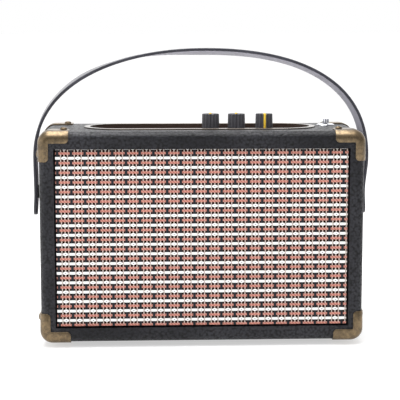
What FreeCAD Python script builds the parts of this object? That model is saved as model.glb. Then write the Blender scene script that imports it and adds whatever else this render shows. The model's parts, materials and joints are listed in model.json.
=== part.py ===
import FreeCAD, Part
import math
import os

# A portable radio in a leather-covered wooden cabinet, in millimetres.
# +X is the radio's right as seen from the front, +Y goes to the back, +Z goes up.
# The origin is under the middle of the cabinet, on the surface that the feet stand on.

Vector = FreeCAD.Vector
X_AXIS = Vector(1, 0, 0)
Y_AXIS = Vector(0, 1, 0)
Z_AXIS = Vector(0, 0, 1)

# Cabinet
CABINET_W = 240.0
CABINET_H = 157.0
CABINET_D = 87.0
FOOT_H = 4.0
CORNER_R = 8.5
EDGE_R = 5.5
LEATHER_T = 0.9
FRAME_W = 11.0
FRAME_TOP_W = 12.6
LIP_DEPTH = 9.0
REAR_LIP_DEPTH = 7.0

# Grille, baffle and loudspeakers
GRILLE_SETBACK = 2.0
GRILLE_GAP = 1.2
CLOTH_LOW_GAP = 1.4
CLOTH_HIGH_GAP = 0.4
CLOTH_T = 0.6
GRILLE_FRAME_T = 3.8
GRILLE_FRAME_BAR = 9.0
PEG_R = 2.5
PEG_IN = 6.0
BAFFLE_T = 6.0
SPEAKER_X = 52.0
SPEAKER_HOLE_R = 33.0
SPEAKER_FLANGE_R = 39.0
SPEAKER_FLANGE_T = 2.0
SPEAKER_SCREW_R = 36.4
SPEAKER_SCREW_DEPTH = SPEAKER_FLANGE_T + 4.0
BASKET_MOUTH_R = 32.5
BASKET_SEAT_R = 14.0
BASKET_DEPTH = 22.0
BASKET_WALL = 1.2
BASKET_WINDOW_W = 18.0
MAGNET_R = 28.0
MAGNET_T = 13.0
DUST_CAP_BALL_R = 14.0
DUST_CAP_T = 0.7
DUST_CAP_R = 9.2

# Control recess in the top
RECESS_Y = 2.0
RING_L = 177.0
RING_W = 56.0
RING_BAND = 5.0
RING_T = 0.8
RING_CHAMFER = 0.5
TRAY_WALL = 1.5
PANEL_DROP = 6.0
PANEL_T = 1.0

# Control knobs
KNOB_X = {"volume": 8.2, "tone": 28.0, "tuning": 49.2}
POINTER_TURN = {"volume": 90.0, "tone": 90.0, "tuning": -90.0}
KNOB_R_BOTTOM = 6.75
KNOB_R_TOP = 6.4
KNOB_CHAMFER = 0.5
KNOB_ABOVE_TOP = 10.0
KNOB_GAP = 0.8
KNOB_HOLLOW_R = 5.2
KNOB_HOLLOW_H = 3.2
POINTER_W = 1.7
POINTER_PROUD = 0.35
POINTER_SUNK = 0.9
POINTER_START = 1.2
SHAFT_R = 3.0
SHAFT_BELOW_TRAY = 4.0
SHAFT_BELOW_KNOB_TOP = 3.0
RUNNING_GAP = 0.05
BUSH_R = 3.6
BUSH_ABOVE_PANEL = 2.4
NUT_R = 4.9
NUT_H = 2.0
CONTROL_BODY_R = 8.0
CONTROL_BODY_H = 8.0
CONTROL_BOARD_X = (-6.0, 62.0)
CONTROL_BOARD_HALF_D = 14.0

# Antenna
ANTENNA_X = 98.6
ANTENNA_Y = 16.5
ANTENNA_SLEEVE_R = 3.4
ANTENNA_WALL = 0.4
ANTENNA_SECTIONS = 4
ANTENNA_LOWEST = 24.0
ANTENNA_STEP = 2.0
ANTENNA_SHOULDER = 0.2
ANTENNA_SLEEVE_DROP = 0.3
BEZEL_R = 6.9
BEZEL_T = 0.9
BEZEL_CHAMFER = 0.5
TIP_R = 2.75
TIP_H = 3.8
TIP_CHAMFER = 0.4
ANTENNA_HOLDER_HALF = 6.0
ANTENNA_HOLDER_LOW = 30.0
ANTENNA_HOLDER_HIGH = 42.0

# Corner protectors and their screws
PLATE_T = 0.9
ARM_L = 22.0
TOP_ARM_W = 8.3
SIDE_ARM_W = 7.2
FLANGE_D = 20.0
ARM_END_R = 3.0
SCREW_FROM_SIDE = 18.0
SCREW_FROM_FRONT = 14.2
SCREW_FROM_TOP = 17.2
SCREW_HEAD_R = 2.6
SCREW_HEAD_H = 1.7
SCREW_R = 1.3
SCREW_L = 7.0

# Strap and its studs
STRAP_W = 19.0
STRAP_T = 2.3
STRAP_X = 125.2
STRAP_TOP = 221.0
STRAP_SPRING = 153.0
STRAP_SIDE_R = 53.0
STRAP_END = 94.5
STRAP_END_R = 7.0
PIVOT_Z = 112.0
STUD_R = 2.0
STUD_HEAD_R = 5.0
STUD_HEAD_T = 1.9
STRAP_SIDE_GAP = 0.3
STUD_DEPTH = 6.0

# Back
BACK_SETBACK = 3.0
BACK_T = 4.0
BACK_GAP = 0.4
CLEAT = 8.0
PORT_X = 0.0
PORT_Z = 118.0
PORT_R = 12.0
PORT_WALL = 2.0
PORT_FLANGE_R = 19.0
PORT_L = 40.0
SOCKET_PLATE_W = 56.0
SOCKET_PLATE_H = 24.0
SOCKET_PLATE_Z = 40.0
SOCKET_PLATE_T = 1.5
SOCKET_PLATE_CORNER_R = 3.0
SOCKET_X = 14.0
SOCKET_R = 4.0
SOCKET_DEPTH = 12.0
SOCKET_FLOOR_T = 2.0
SOCKET_CLEARANCE_R = 5.0
CHARGING_BORE_R = 2.75
CHARGING_PIN_R = 1.0
AUDIO_BORE_R = 1.8
SCREW_FROM_OPENING = 12.0

# Amplifier board and what it carries
BOARD_T = 1.6
BOARD_X = (-98.0, -22.0)
BOARD_Z = (50.0, 112.0)
STANDOFF_R = 2.5
STANDOFF_L = 5.0
STANDOFF_INSET = 5.0
HEAT_SINK_X = (-90.0, -60.0)
HEAT_SINK_Z = (60.0, 82.0)
HEAT_SINK_BASE_T = 2.0
FIN_COUNT = 5
FIN_PITCH = 5.0
FIN_T = 2.0
FIN_D = 10.0
CAPACITOR_X = -50.0
CAPACITOR_Z = 66.0
CAPACITOR_R = 5.0
CAPACITOR_L = 12.0
CAPACITOR_PITCH = 14.0
TUNER_X = (-56.0, -32.0)
TUNER_Z = (84.0, 104.0)
TUNER_T = 5.0

# Battery holder on the floor of the cabinet
HOLDER_HALF_L = 39.0
HOLDER_Y = (-15.0, 26.0)
HOLDER_H = 14.0
BAY_HALF_L = 34.0
BAY_Y = -14.0
BAY_W = 19.0
BAY_PITCH = 20.0
BAY_FLOOR_T = 2.0
CELL_R = 9.2
CELL_L = 65.0

# Feet
FOOT_R = 6.0
FOOT_X = 85.0
FOOT_Y = 16.0
FOOT_CHAMFER = 0.8
FOOT_SCREW_HEAD_T = 1.0

# Worked-out levels and faces
RECESS_L = RING_L - 2 * RING_BAND
RECESS_W = RING_W - 2 * RING_BAND
HALF_W = CABINET_W / 2
HALF_D = CABINET_D / 2
BOTTOM = FOOT_H
TOP = FOOT_H + CABINET_H
MIDDLE_Z = (BOTTOM + TOP) / 2
OPEN_X = HALF_W - FRAME_W
OPEN_LOW = BOTTOM + FRAME_W
OPEN_HIGH = TOP - FRAME_TOP_W
SPEAKER_Z = (OPEN_LOW + OPEN_HIGH) / 2
CAVITY_X = OPEN_X + LEATHER_T
CAVITY_LOW = OPEN_LOW - LEATHER_T
CAVITY_HIGH = OPEN_HIGH + LEATHER_T
CLOTH_Y = -HALF_D + GRILLE_SETBACK
FRAME_Y = CLOTH_Y + CLOTH_T
BAFFLE_Y = FRAME_Y + GRILLE_FRAME_T
BAFFLE_BACK_Y = BAFFLE_Y + BAFFLE_T
BACK_Y = HALF_D - BACK_SETBACK
BACK_INNER_Y = BACK_Y - BACK_T
PANEL_Z = TOP - PANEL_DROP
TRAY_FLOOR_Z = PANEL_Z - PANEL_T - TRAY_WALL
KNOB_LOW = PANEL_Z + KNOB_GAP
KNOB_HIGH = TOP + KNOB_ABOVE_TOP
BEZEL_TOP = TOP + BEZEL_T

EXPORTS = {}


def node(name, *solids):
    """Keep one named node, made of one solid or of several separate ones."""
    EXPORTS[name] = solids[0] if len(solids) == 1 else Part.makeCompound(list(solids))


def block(x0, x1, y0, y1, z0, z1):
    return Part.makeBox(x1 - x0, y1 - y0, z1 - z0, Vector(x0, y0, z0))


def rod(radius, length, x, y, z, axis=Z_AXIS):
    return Part.makeCylinder(radius, length, Vector(x, y, z), axis)


def tube(outer, inner, length, x, y, z, axis=Z_AXIS):
    return rod(outer, length, x, y, z, axis).cut(rod(inner, length, x, y, z, axis))


def fuse(first, *others):
    return first.fuse(list(others)).removeSplitter()


def turned(profile, x, y, z, axis):
    """Revolve (radius, along) points about an axis that starts at x, y, z."""
    corners = [Vector(radius, 0, along) for radius, along in profile]
    face = Part.Face(Part.makePolygon(corners + [corners[0]]))
    solid = face.revolve(Vector(0, 0, 0), Z_AXIS, 360)
    solid.Placement = FreeCAD.Placement(Vector(x, y, z), FreeCAD.Rotation(Z_AXIS, axis))
    return Part.Solid(solid) if solid.ShapeType == "Shell" else solid


def edges_along(shape, axis):
    """The straight edges that run along an axis."""
    found = []
    for edge in shape.Edges:
        if isinstance(edge.Curve, Part.Line):
            along = edge.tangentAt(edge.FirstParameter).dot(axis)
            if abs(abs(along) - 1) < 1e-6:
                found.append(edge)
    return found


def edges_at_depth(shape, depth):
    """The edges that lie wholly in the plane y = depth."""
    found = []
    for edge in shape.Edges:
        box = edge.BoundBox
        if max(abs(box.YMin - depth), abs(box.YMax - depth)) < 1e-5:
            found.append(edge)
    return found


def rounded_cabinet(offset):
    """The cabinet's outer form, moved outwards by offset, with its edges rounded."""
    half_w, half_d = HALF_W + offset, HALF_D + offset
    form = block(-half_w, half_w, -half_d, half_d, BOTTOM - offset, TOP + offset)
    form = form.makeFillet(CORNER_R + offset, edges_along(form, Y_AXIS))
    return form.makeFillet(EDGE_R + offset, edges_at_depth(form, -half_d) + edges_at_depth(form, half_d))


def stadium(length, width, low, high):
    """An upright prism with two half-round ends, centred on the control recess."""
    end_r = width / 2
    straight = length / 2 - end_r
    prism = block(-straight, straight, RECESS_Y - end_r, RECESS_Y + end_r, low, high)
    ends = [rod(end_r, high - low, side * straight, RECESS_Y, low) for side in (-1, 1)]
    return fuse(prism, *ends)


def opening(grow, y0, y1):
    """The cabinet's front or back opening as a block, grown on each side."""
    return block(-OPEN_X - grow, OPEN_X + grow, y0, y1, OPEN_LOW - grow, OPEN_HIGH + grow)


def corner_screw_places():
    """Where the protectors' screws go: a point on the plate's face and the way out of it."""
    places = []
    for side in (-1, 1):
        for depth in (-1, 1):
            y = depth * (HALF_D - SCREW_FROM_FRONT)
            for level in (-1, 1):
                face_z = TOP + PLATE_T if level > 0 else BOTTOM - PLATE_T
                beside_antenna = side > 0 and depth > 0 and level > 0
                if not beside_antenna:
                    top_x = side * (HALF_W - SCREW_FROM_SIDE)
                    places.append((Vector(top_x, y, face_z), Vector(0, 0, level)))
                side_z = TOP - SCREW_FROM_TOP if level > 0 else BOTTOM + SCREW_FROM_TOP
                places.append((Vector(side * (HALF_W + PLATE_T), y, side_z), Vector(side, 0, 0)))
    return places


def screw(place, out, head_r, head_h, shank_r, length):
    """A dome-headed screw whose head sits on a face at place."""
    ball_r = (head_r ** 2 + head_h ** 2) / (2 * head_h)
    centre = place + out * (head_h - ball_r)
    dome = Part.makeSphere(ball_r, centre)
    dome = dome.common(Part.makeCylinder(head_r + 1, head_h + 1, place, out))
    shank = Part.makeCylinder(shank_r, length, place - out * length, out)
    return fuse(dome, shank)


def screw_hole(place, out, shank_r, length):
    return Part.makeCylinder(shank_r, length + 1, place - out * length, out)


def make_cabinet():
    wood = rounded_cabinet(-LEATHER_T).cut(opening(LEATHER_T, -HALF_D, HALF_D))
    leather = rounded_cabinet(0).cut([rounded_cabinet(-LEATHER_T), opening(0, -HALF_D, HALF_D)])
    front_lip = (-HALF_D + LEATHER_T, -HALF_D + LIP_DEPTH)
    rear_lip = (HALF_D - REAR_LIP_DEPTH, HALF_D - LEATHER_T)
    for y0, y1 in (front_lip, rear_lip):
        lining = opening(LEATHER_T, y0, y1).cut(opening(0, y0, y1))
        leather = fuse(leather, lining)
    holes = [stadium(RECESS_L + 2 * TRAY_WALL, RECESS_W + 2 * TRAY_WALL, OPEN_HIGH, TOP + 1)]
    holes.append(rod(ANTENNA_SLEEVE_R, TOP + 1 - OPEN_HIGH, ANTENNA_X, ANTENNA_Y, OPEN_HIGH))
    holes += [screw_hole(place, out, SCREW_R, SCREW_L) for place, out in corner_screw_places()]
    for side in (-1, 1):
        holes.append(rod(STUD_R, STUD_DEPTH + 1, side * (HALF_W + 1), 0, PIVOT_Z, Vector(-side, 0, 0)))
    for x in (-FOOT_X, FOOT_X):
        for y in (-FOOT_Y, FOOT_Y):
            holes.append(rod(SCREW_R, SCREW_L, x, y, FOOT_H / 2))
    node("cabinet_shell", wood.cut(holes))
    node("leather_covering", leather.cut(holes))


def make_baffle_and_grille():
    fit_x, fit_low, fit_high = CAVITY_X, CAVITY_LOW, CAVITY_HIGH
    lip = opening(0, BAFFLE_Y, -HALF_D + LIP_DEPTH)
    baffle = fuse(lip, block(-fit_x, fit_x, -HALF_D + LIP_DEPTH, BAFFLE_BACK_Y, fit_low, fit_high))
    cuts = []
    for side in (-1, 1):
        cuts.append(rod(SPEAKER_HOLE_R, BAFFLE_T + 2, side * SPEAKER_X, BAFFLE_Y - 1, SPEAKER_Z, Y_AXIS))
        for place, out in speaker_screw_places(side):
            cuts.append(screw_hole(place, out, SCREW_R, SPEAKER_SCREW_DEPTH))
    pegs, peg_holes = [], []
    peg_x = OPEN_X - GRILLE_GAP - PEG_IN
    for x in (-peg_x, peg_x):
        for z in (OPEN_LOW + GRILLE_GAP + PEG_IN, OPEN_HIGH - PEG_IN):
            pegs.append(rod(PEG_R, BAFFLE_T, x, BAFFLE_Y, z, Y_AXIS))
            peg_holes.append(rod(PEG_R, BAFFLE_T + 2, x, BAFFLE_Y - 1, z, Y_AXIS))
    node("front_baffle", baffle.cut(cuts + peg_holes))
    node("grille_pegs", *pegs)

    half = OPEN_X - GRILLE_GAP
    low, high = OPEN_LOW + CLOTH_LOW_GAP, OPEN_HIGH - CLOTH_HIGH_GAP
    bar = GRILLE_FRAME_BAR
    board = block(-half, half, FRAME_Y, BAFFLE_Y, low, high)
    window_l = block(-half + bar, -bar / 2, FRAME_Y, BAFFLE_Y, low + bar, high - bar)
    window_r = block(bar / 2, half - bar, FRAME_Y, BAFFLE_Y, low + bar, high - bar)
    node("grille_frame", board.cut([window_l, window_r]))
    node("grille_cloth", block(-half, half, CLOTH_Y, FRAME_Y, low, high))


def speaker_screw_places(side):
    """Four screws through a loudspeaker's flange, from behind."""
    places = []
    for quarter in range(4):
        angle = math.radians(45 + 90 * quarter)
        x = side * SPEAKER_X + SPEAKER_SCREW_R * math.cos(angle)
        z = SPEAKER_Z + SPEAKER_SCREW_R * math.sin(angle)
        places.append((Vector(x, BAFFLE_BACK_Y + SPEAKER_FLANGE_T, z), Y_AXIS))
    return places


def make_speaker(side):
    """One loudspeaker's pieces: basket, magnet, surround, cone and dust cap."""
    x, y, z = side * SPEAKER_X, BAFFLE_BACK_Y, SPEAKER_Z
    back, mouth, wall = BASKET_DEPTH, BASKET_MOUTH_R, BASKET_WALL
    profile = [(mouth, 0), (SPEAKER_FLANGE_R, 0), (SPEAKER_FLANGE_R, SPEAKER_FLANGE_T)]
    profile += [(mouth + 1.1, SPEAKER_FLANGE_T), (20.0, back), (BASKET_SEAT_R, back)]
    profile += [(BASKET_SEAT_R, back - wall), (19.2, back - wall), (mouth, SPEAKER_FLANGE_T)]
    basket = turned(profile, x, y, z, Y_AXIS)
    windows = []
    for spoke in range(4):
        half = BASKET_WINDOW_W / 2
        window = block(-half, half, 6, back - 4, 10, 40)
        window.rotate(Vector(0, 0, 0), Y_AXIS, 90 * spoke)
        window.translate(Vector(x, y, z))
        windows.append(window)
    holes = []
    for place, out in speaker_screw_places(side):
        holes.append(screw_hole(place, out, SCREW_R, SPEAKER_FLANGE_T + 1))
    basket = basket.cut(windows + holes)
    slug = [(0, back), (MAGNET_R, back), (MAGNET_R, back + MAGNET_T), (0, back + MAGNET_T)]
    magnet = turned(slug, x, y, z, Y_AXIS)
    roll = [(32.4, 0.2), (32.4, 1.0), (30.6, -1.4), (28.4, -2.0), (26.2, -1.4), (24.6, 1.0), (23.4, 1.6)]
    roll += [(23.4, 0.9), (24.3, 0.3), (25.8, -2.0), (28.4, -2.8), (31.0, -2.0)]
    surround = turned(roll, x, y, z, Y_AXIS)
    cone = [(23.3, 1.0), (23.3, 1.7), (10.6, 12.0), (9.4, 20.0), (8.8, 20.0), (10.0, 11.4)]
    cone = turned(cone, x, y, z, Y_AXIS)
    cap = Part.makeSphere(DUST_CAP_BALL_R).cut(Part.makeSphere(DUST_CAP_BALL_R - DUST_CAP_T))
    cap = cap.common(rod(DUST_CAP_R, 20, 0, 0, 0, Vector(0, -1, 0)))
    cap.translate(Vector(x, y + 21.8, z))
    return basket, magnet, surround, cone, cap


def make_speakers():
    screws = []
    names = ("speaker_baskets", "speaker_magnets", "speaker_surrounds", "speaker_cones", "speaker_dust_caps")
    for name, pair in zip(names, zip(make_speaker(-1), make_speaker(1))):
        node(name, *pair)
    for side in (-1, 1):
        for place, out in speaker_screw_places(side):
            screws.append(screw(place, out, SCREW_HEAD_R, SCREW_HEAD_H, SCREW_R, SPEAKER_SCREW_DEPTH))
    node("speaker_screws", *screws)


def make_control_recess():
    ring = stadium(RING_L, RING_W, TOP, TOP + RING_T)
    ring = ring.cut(stadium(RECESS_L, RECESS_W, TOP - 1, TOP + RING_T + 1))
    rim = [e for e in ring.Edges if e.BoundBox.ZMin > TOP + RING_T - 1e-4]
    node("control_trim_ring", ring.makeChamfer(RING_CHAMFER, rim))
    bush_holes = []
    for x in KNOB_X.values():
        bush_holes.append(rod(BUSH_R, TOP - TRAY_FLOOR_Z + 2, x, RECESS_Y, TRAY_FLOOR_Z - 1))
    tray = stadium(RECESS_L + 2 * TRAY_WALL, RECESS_W + 2 * TRAY_WALL, TRAY_FLOOR_Z, TOP)
    tray = tray.cut(stadium(RECESS_L, RECESS_W, TRAY_FLOOR_Z + TRAY_WALL, TOP + 1))
    node("control_tray", tray.cut(bush_holes))
    node("control_panel", stadium(RECESS_L, RECESS_W, PANEL_Z - PANEL_T, PANEL_Z).cut(bush_holes))


def frustum(low, high, r_low, r_high, x):
    return Part.makeCone(r_low, r_high, high - low, Vector(x, RECESS_Y, low), Z_AXIS)


def make_control(name, x):
    """One knob with its pointer and shaft, and the fixed control that it turns."""
    proud, sunk = POINTER_PROUD, POINTER_SUNK
    envelope = frustum(KNOB_LOW, KNOB_HIGH + proud, KNOB_R_BOTTOM + proud, KNOB_R_TOP + proud, x)
    core = frustum(KNOB_LOW, KNOB_HIGH - sunk, KNOB_R_BOTTOM - sunk, KNOB_R_TOP - sunk, x)
    reach = KNOB_R_BOTTOM + 2
    half = POINTER_W / 2
    slab = block(x + POINTER_START, x + reach, RECESS_Y - half, RECESS_Y + half, KNOB_LOW, KNOB_HIGH + 2)
    pointer = slab.common(envelope).cut(core)
    pointer.rotate(Vector(x, RECESS_Y, 0), Z_AXIS, POINTER_TURN[name])
    knob = frustum(KNOB_LOW, KNOB_HIGH, KNOB_R_BOTTOM, KNOB_R_TOP, x)
    rim = [e for e in knob.Edges if e.BoundBox.ZMin > KNOB_HIGH - 1e-4]
    knob = knob.makeChamfer(KNOB_CHAMFER, rim)
    hollow = rod(KNOB_HOLLOW_R, KNOB_HOLLOW_H, x, RECESS_Y, KNOB_LOW)
    shaft_low = TRAY_FLOOR_Z - SHAFT_BELOW_TRAY
    shaft_high = KNOB_HIGH - SHAFT_BELOW_KNOB_TOP
    shaft = rod(SHAFT_R, shaft_high - shaft_low, x, RECESS_Y, shaft_low)
    node(f"{name}_knob", knob.cut([hollow, shaft, pointer]))
    node(f"{name}_knob_pointer", pointer)
    node(f"{name}_shaft", shaft)
    bush = rod(BUSH_R, PANEL_Z + BUSH_ABOVE_PANEL - TRAY_FLOOR_Z, x, RECESS_Y, TRAY_FLOOR_Z)
    body = rod(CONTROL_BODY_R, CONTROL_BODY_H, x, RECESS_Y, TRAY_FLOOR_Z - CONTROL_BODY_H)
    bore = rod(SHAFT_R + RUNNING_GAP, shaft_high, x, RECESS_Y, shaft_low - 0.5)
    control = fuse(body, bush).cut(bore)
    node("tuning_encoder" if name == "tuning" else f"{name}_potentiometer", control)


def make_controls():
    nuts = []
    for name, x in KNOB_X.items():
        make_control(name, x)
        points = []
        for corner in range(7):
            angle = math.radians(60 * corner)
            across, along = NUT_R * math.cos(angle), NUT_R * math.sin(angle)
            points.append(Vector(x + across, RECESS_Y + along, PANEL_Z))
        nut = Part.Face(Part.makePolygon(points)).extrude(Vector(0, 0, NUT_H))
        nuts.append(nut.cut(rod(BUSH_R, NUT_H + 2, x, RECESS_Y, PANEL_Z - 1)))
    node("control_nuts", *nuts)
    board_high = TRAY_FLOOR_Z - CONTROL_BODY_H
    y0, y1 = RECESS_Y - CONTROL_BOARD_HALF_D, RECESS_Y + CONTROL_BOARD_HALF_D
    node("control_board", block(*CONTROL_BOARD_X, y0, y1, board_high - BOARD_T, board_high))


def make_antenna():
    x, y = ANTENNA_X, ANTENNA_Y
    flange = [(ANTENNA_SLEEVE_R, 0), (BEZEL_R, 0), (BEZEL_R, BEZEL_T - BEZEL_CHAMFER)]
    flange += [(BEZEL_R - BEZEL_CHAMFER, BEZEL_T), (ANTENNA_SLEEVE_R, BEZEL_T)]
    node("antenna_bezel", turned(flange, x, y, TOP, Z_AXIS))
    inner = ANTENNA_SLEEVE_R - ANTENNA_WALL
    sleeve_l = BEZEL_TOP - ANTENNA_SLEEVE_DROP - ANTENNA_LOWEST
    node("antenna_sleeve", tube(ANTENNA_SLEEVE_R, inner, sleeve_l, x, y, ANTENNA_LOWEST))
    tip_low = BEZEL_TOP + ANTENNA_SHOULDER
    for number in range(1, ANTENNA_SECTIONS + 1):
        outer = inner - RUNNING_GAP
        inner = outer - ANTENNA_WALL
        low = ANTENNA_LOWEST + ANTENNA_STEP * number
        if number < ANTENNA_SECTIONS:
            section = tube(outer, inner, BEZEL_TOP - low, x, y, low)
        else:
            section = rod(outer, tip_low - low, x, y, low)
        node(f"antenna_section_{number}", section)
    edge = TIP_CHAMFER
    tip = [(0, 0), (TIP_R - edge, 0), (TIP_R, edge), (TIP_R, TIP_H - edge), (TIP_R - edge, TIP_H), (0, TIP_H)]
    node("antenna_tip", turned(tip, x, y, tip_low, Z_AXIS))
    half, low, high = ANTENNA_HOLDER_HALF, ANTENNA_HOLDER_LOW, ANTENNA_HOLDER_HIGH
    holder = block(x - half, CAVITY_X, y - half, y + half, low, high)
    node("antenna_holder", holder.cut(rod(ANTENNA_SLEEVE_R, high - low + 2, x, y, low - 1)))


def corner_protector():
    """The front top right protector: an L on the front, with a flange on the top and one on the side."""
    skin = rounded_cabinet(PLATE_T).cut(rounded_cabinet(0))
    x0, x1 = HALF_W - ARM_L, HALF_W + 2
    y0, y1 = -HALF_D - 2, -HALF_D + FLANGE_D
    z0, z1 = TOP - ARM_L, TOP + 2
    top_z, side_x = TOP - TOP_ARM_W, HALF_W - SIDE_ARM_W
    top_arm = block(x0, x1, y0, y1, top_z, z1)
    top_arm = round_near(top_arm, Vector(x0, 0, top_z), Y_AXIS)
    top_arm = round_near(top_arm, Vector(x0, y1, 0), Z_AXIS)
    side_arm = block(side_x, x1, y0, y1, z0, z1)
    side_arm = round_near(side_arm, Vector(side_x, 0, z0), Y_AXIS)
    side_arm = round_near(side_arm, Vector(0, y1, z0), X_AXIS)
    return skin.common(fuse(top_arm, side_arm))


def round_near(shape, place, axis):
    """Round the straight edge that runs along axis through place."""
    for edge in edges_along(shape, axis):
        gap = edge.Vertexes[0].Point - place
        gap = gap - axis * gap.dot(axis)
        if gap.Length < 1e-4:
            return shape.makeFillet(ARM_END_R, [edge])
    raise ValueError("no such edge")


def make_corner_protectors():
    first = corner_protector()
    holes = [screw_hole(place, out, SCREW_R, SCREW_L) for place, out in corner_screw_places()]
    for depth_name, depth in (("front", 1), ("rear", -1)):
        plates = []
        for level in (1, -1):
            for side in (1, -1):
                plate = first
                if depth < 0:
                    plate = plate.mirror(Vector(0, 0, 0), Y_AXIS)
                if level < 0:
                    plate = plate.mirror(Vector(0, 0, MIDDLE_Z), Z_AXIS)
                if side < 0:
                    plate = plate.mirror(Vector(0, 0, 0), X_AXIS)
                plates.append(plate.cut(holes))
        node(f"corner_protectors_{depth_name}", *plates)
    screws = []
    for place, out in corner_screw_places():
        screws.append(screw(place, out, SCREW_HEAD_R, SCREW_HEAD_H, SCREW_R, SCREW_L))
    node("corner_screws", *screws)


def strap_arch(half, top):
    """Half of the strap's line as edges, from the top of the upright run to the crown."""
    side_r = STRAP_SIDE_R + half - STRAP_X
    rise = top - STRAP_SPRING
    crown_r = (half ** 2 - 2 * half * side_r + rise ** 2) / (2 * (rise - side_r))
    centre = Vector(half - side_r, 0, STRAP_SPRING)
    crown = Vector(0, 0, top - crown_r)
    toward = (centre - crown).normalize()
    join = crown + toward * crown_r
    bend = math.atan2(join.z - centre.z, join.x - centre.x)
    side_mid = centre + Vector(math.cos(bend / 2), 0, math.sin(bend / 2)) * side_r
    lean = math.atan2(join.x, join.z - crown.z)
    crown_mid = crown + Vector(math.sin(lean / 2), 0, math.cos(lean / 2)) * crown_r
    return side_mid, join, crown_mid


def strap_outline(offset):
    """The strap's whole edge line at an offset from its middle, from one end to the other."""
    half, top = STRAP_X + offset, STRAP_TOP + offset
    side_mid, join, crown_mid = strap_arch(half, top)
    start, spring = Vector(half, 0, STRAP_END), Vector(half, 0, STRAP_SPRING)
    crown = Vector(0, 0, top)

    def across(point):
        return Vector(-point.x, point.y, point.z)

    return [
        Part.makeLine(start, spring),
        Part.Arc(spring, side_mid, join).toShape(),
        Part.Arc(join, crown_mid, crown).toShape(),
        Part.Arc(crown, across(crown_mid), across(join)).toShape(),
        Part.Arc(across(join), across(side_mid), across(spring)).toShape(),
        Part.makeLine(across(spring), across(start)),
    ]


def make_strap():
    outer, inner = strap_outline(STRAP_T / 2), strap_outline(-STRAP_T / 2)
    ends = []
    for side in (-1, 1):
        out_x, in_x = side * (STRAP_X + STRAP_T / 2), side * (STRAP_X - STRAP_T / 2)
        ends.append(Part.makeLine(Vector(out_x, 0, STRAP_END), Vector(in_x, 0, STRAP_END)))
    wire = Part.Wire(Part.__sortEdges__(outer + inner + ends))
    band = Part.Face(wire).extrude(Vector(0, STRAP_W, 0))
    band.translate(Vector(0, -STRAP_W / 2, 0))
    corners = [e for e in edges_along(band, X_AXIS) if abs(e.BoundBox.ZMax - STRAP_END) < 1e-4]
    band = band.makeFillet(STRAP_END_R, corners)
    hole = rod(STUD_R + RUNNING_GAP, 2 * STRAP_X + 20, -STRAP_X - 10, 0, PIVOT_Z, X_AXIS)
    node("carrying_strap", band.cut(hole))
    studs, collars = [], []
    for side in (-1, 1):
        out = Vector(side, 0, 0)
        strap_in = STRAP_X - STRAP_T / 2 - STRAP_SIDE_GAP
        strap_out = STRAP_X + STRAP_T / 2 + STRAP_SIDE_GAP
        seat = Vector(side * strap_out, 0, PIVOT_Z)
        length = strap_out - HALF_W + STUD_DEPTH
        studs.append(screw(seat, out, STUD_HEAD_R, STUD_HEAD_T, STUD_R, length))
        collars.append(tube(STUD_HEAD_R, STUD_R, strap_in - HALF_W, side * HALF_W, 0, PIVOT_Z, out))
    node("strap_studs", *studs)
    node("strap_collars", *collars)


def back_screw_places():
    places = []
    for side in (-1, 1):
        for z in (OPEN_LOW + SCREW_FROM_OPENING, SPEAKER_Z, OPEN_HIGH - SCREW_FROM_OPENING):
            places.append((Vector(side * (CAVITY_X - CLEAT / 2), BACK_Y, z), Y_AXIS))
    return places


def make_back():
    low, high = OPEN_LOW + BACK_GAP, OPEN_HIGH - BACK_GAP
    half = OPEN_X - BACK_GAP
    panel = block(-half, half, BACK_INNER_Y, BACK_Y, low, high)
    holes = [screw_hole(place, out, SCREW_R, SCREW_L) for place, out in back_screw_places()]
    port_hole = rod(PORT_R + PORT_WALL, BACK_T + 2, PORT_X, BACK_INNER_Y - 1, PORT_Z, Y_AXIS)
    sockets = []
    for side in (-1, 1):
        x = side * SOCKET_X
        sockets.append(rod(SOCKET_CLEARANCE_R, BACK_T + 2, x, BACK_INNER_Y - 1, SOCKET_PLATE_Z, Y_AXIS))
    node("rear_panel", panel.cut(holes + [port_hole] + sockets))
    cleats = []
    for side in (-1, 1):
        x0, x1 = sorted((side * (CAVITY_X - CLEAT), side * CAVITY_X))
        cleat = block(x0, x1, BACK_INNER_Y - CLEAT, BACK_INNER_Y, CAVITY_LOW + 4, CAVITY_HIGH - 4)
        cleats.append(cleat.cut(holes))
    node("rear_cleats", *cleats)
    screws = []
    for place, out in back_screw_places():
        screws.append(screw(place, out, SCREW_HEAD_R, SCREW_HEAD_H, SCREW_R, SCREW_L))
    node("rear_panel_screws", *screws)
    flare = [(PORT_R + PORT_WALL, BACK_Y), (PORT_FLANGE_R, BACK_Y), (PORT_FLANGE_R, BACK_Y + 1)]
    flare += [(PORT_R + 3.5, BACK_Y + 2), (PORT_R + 1.2, BACK_Y + 1.2), (PORT_R, BACK_Y - 2)]
    flare += [(PORT_R, BACK_Y - PORT_L), (PORT_R + PORT_WALL, BACK_Y - PORT_L)]
    node("bass_port", turned(flare, PORT_X, 0, PORT_Z, Y_AXIS))


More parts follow.
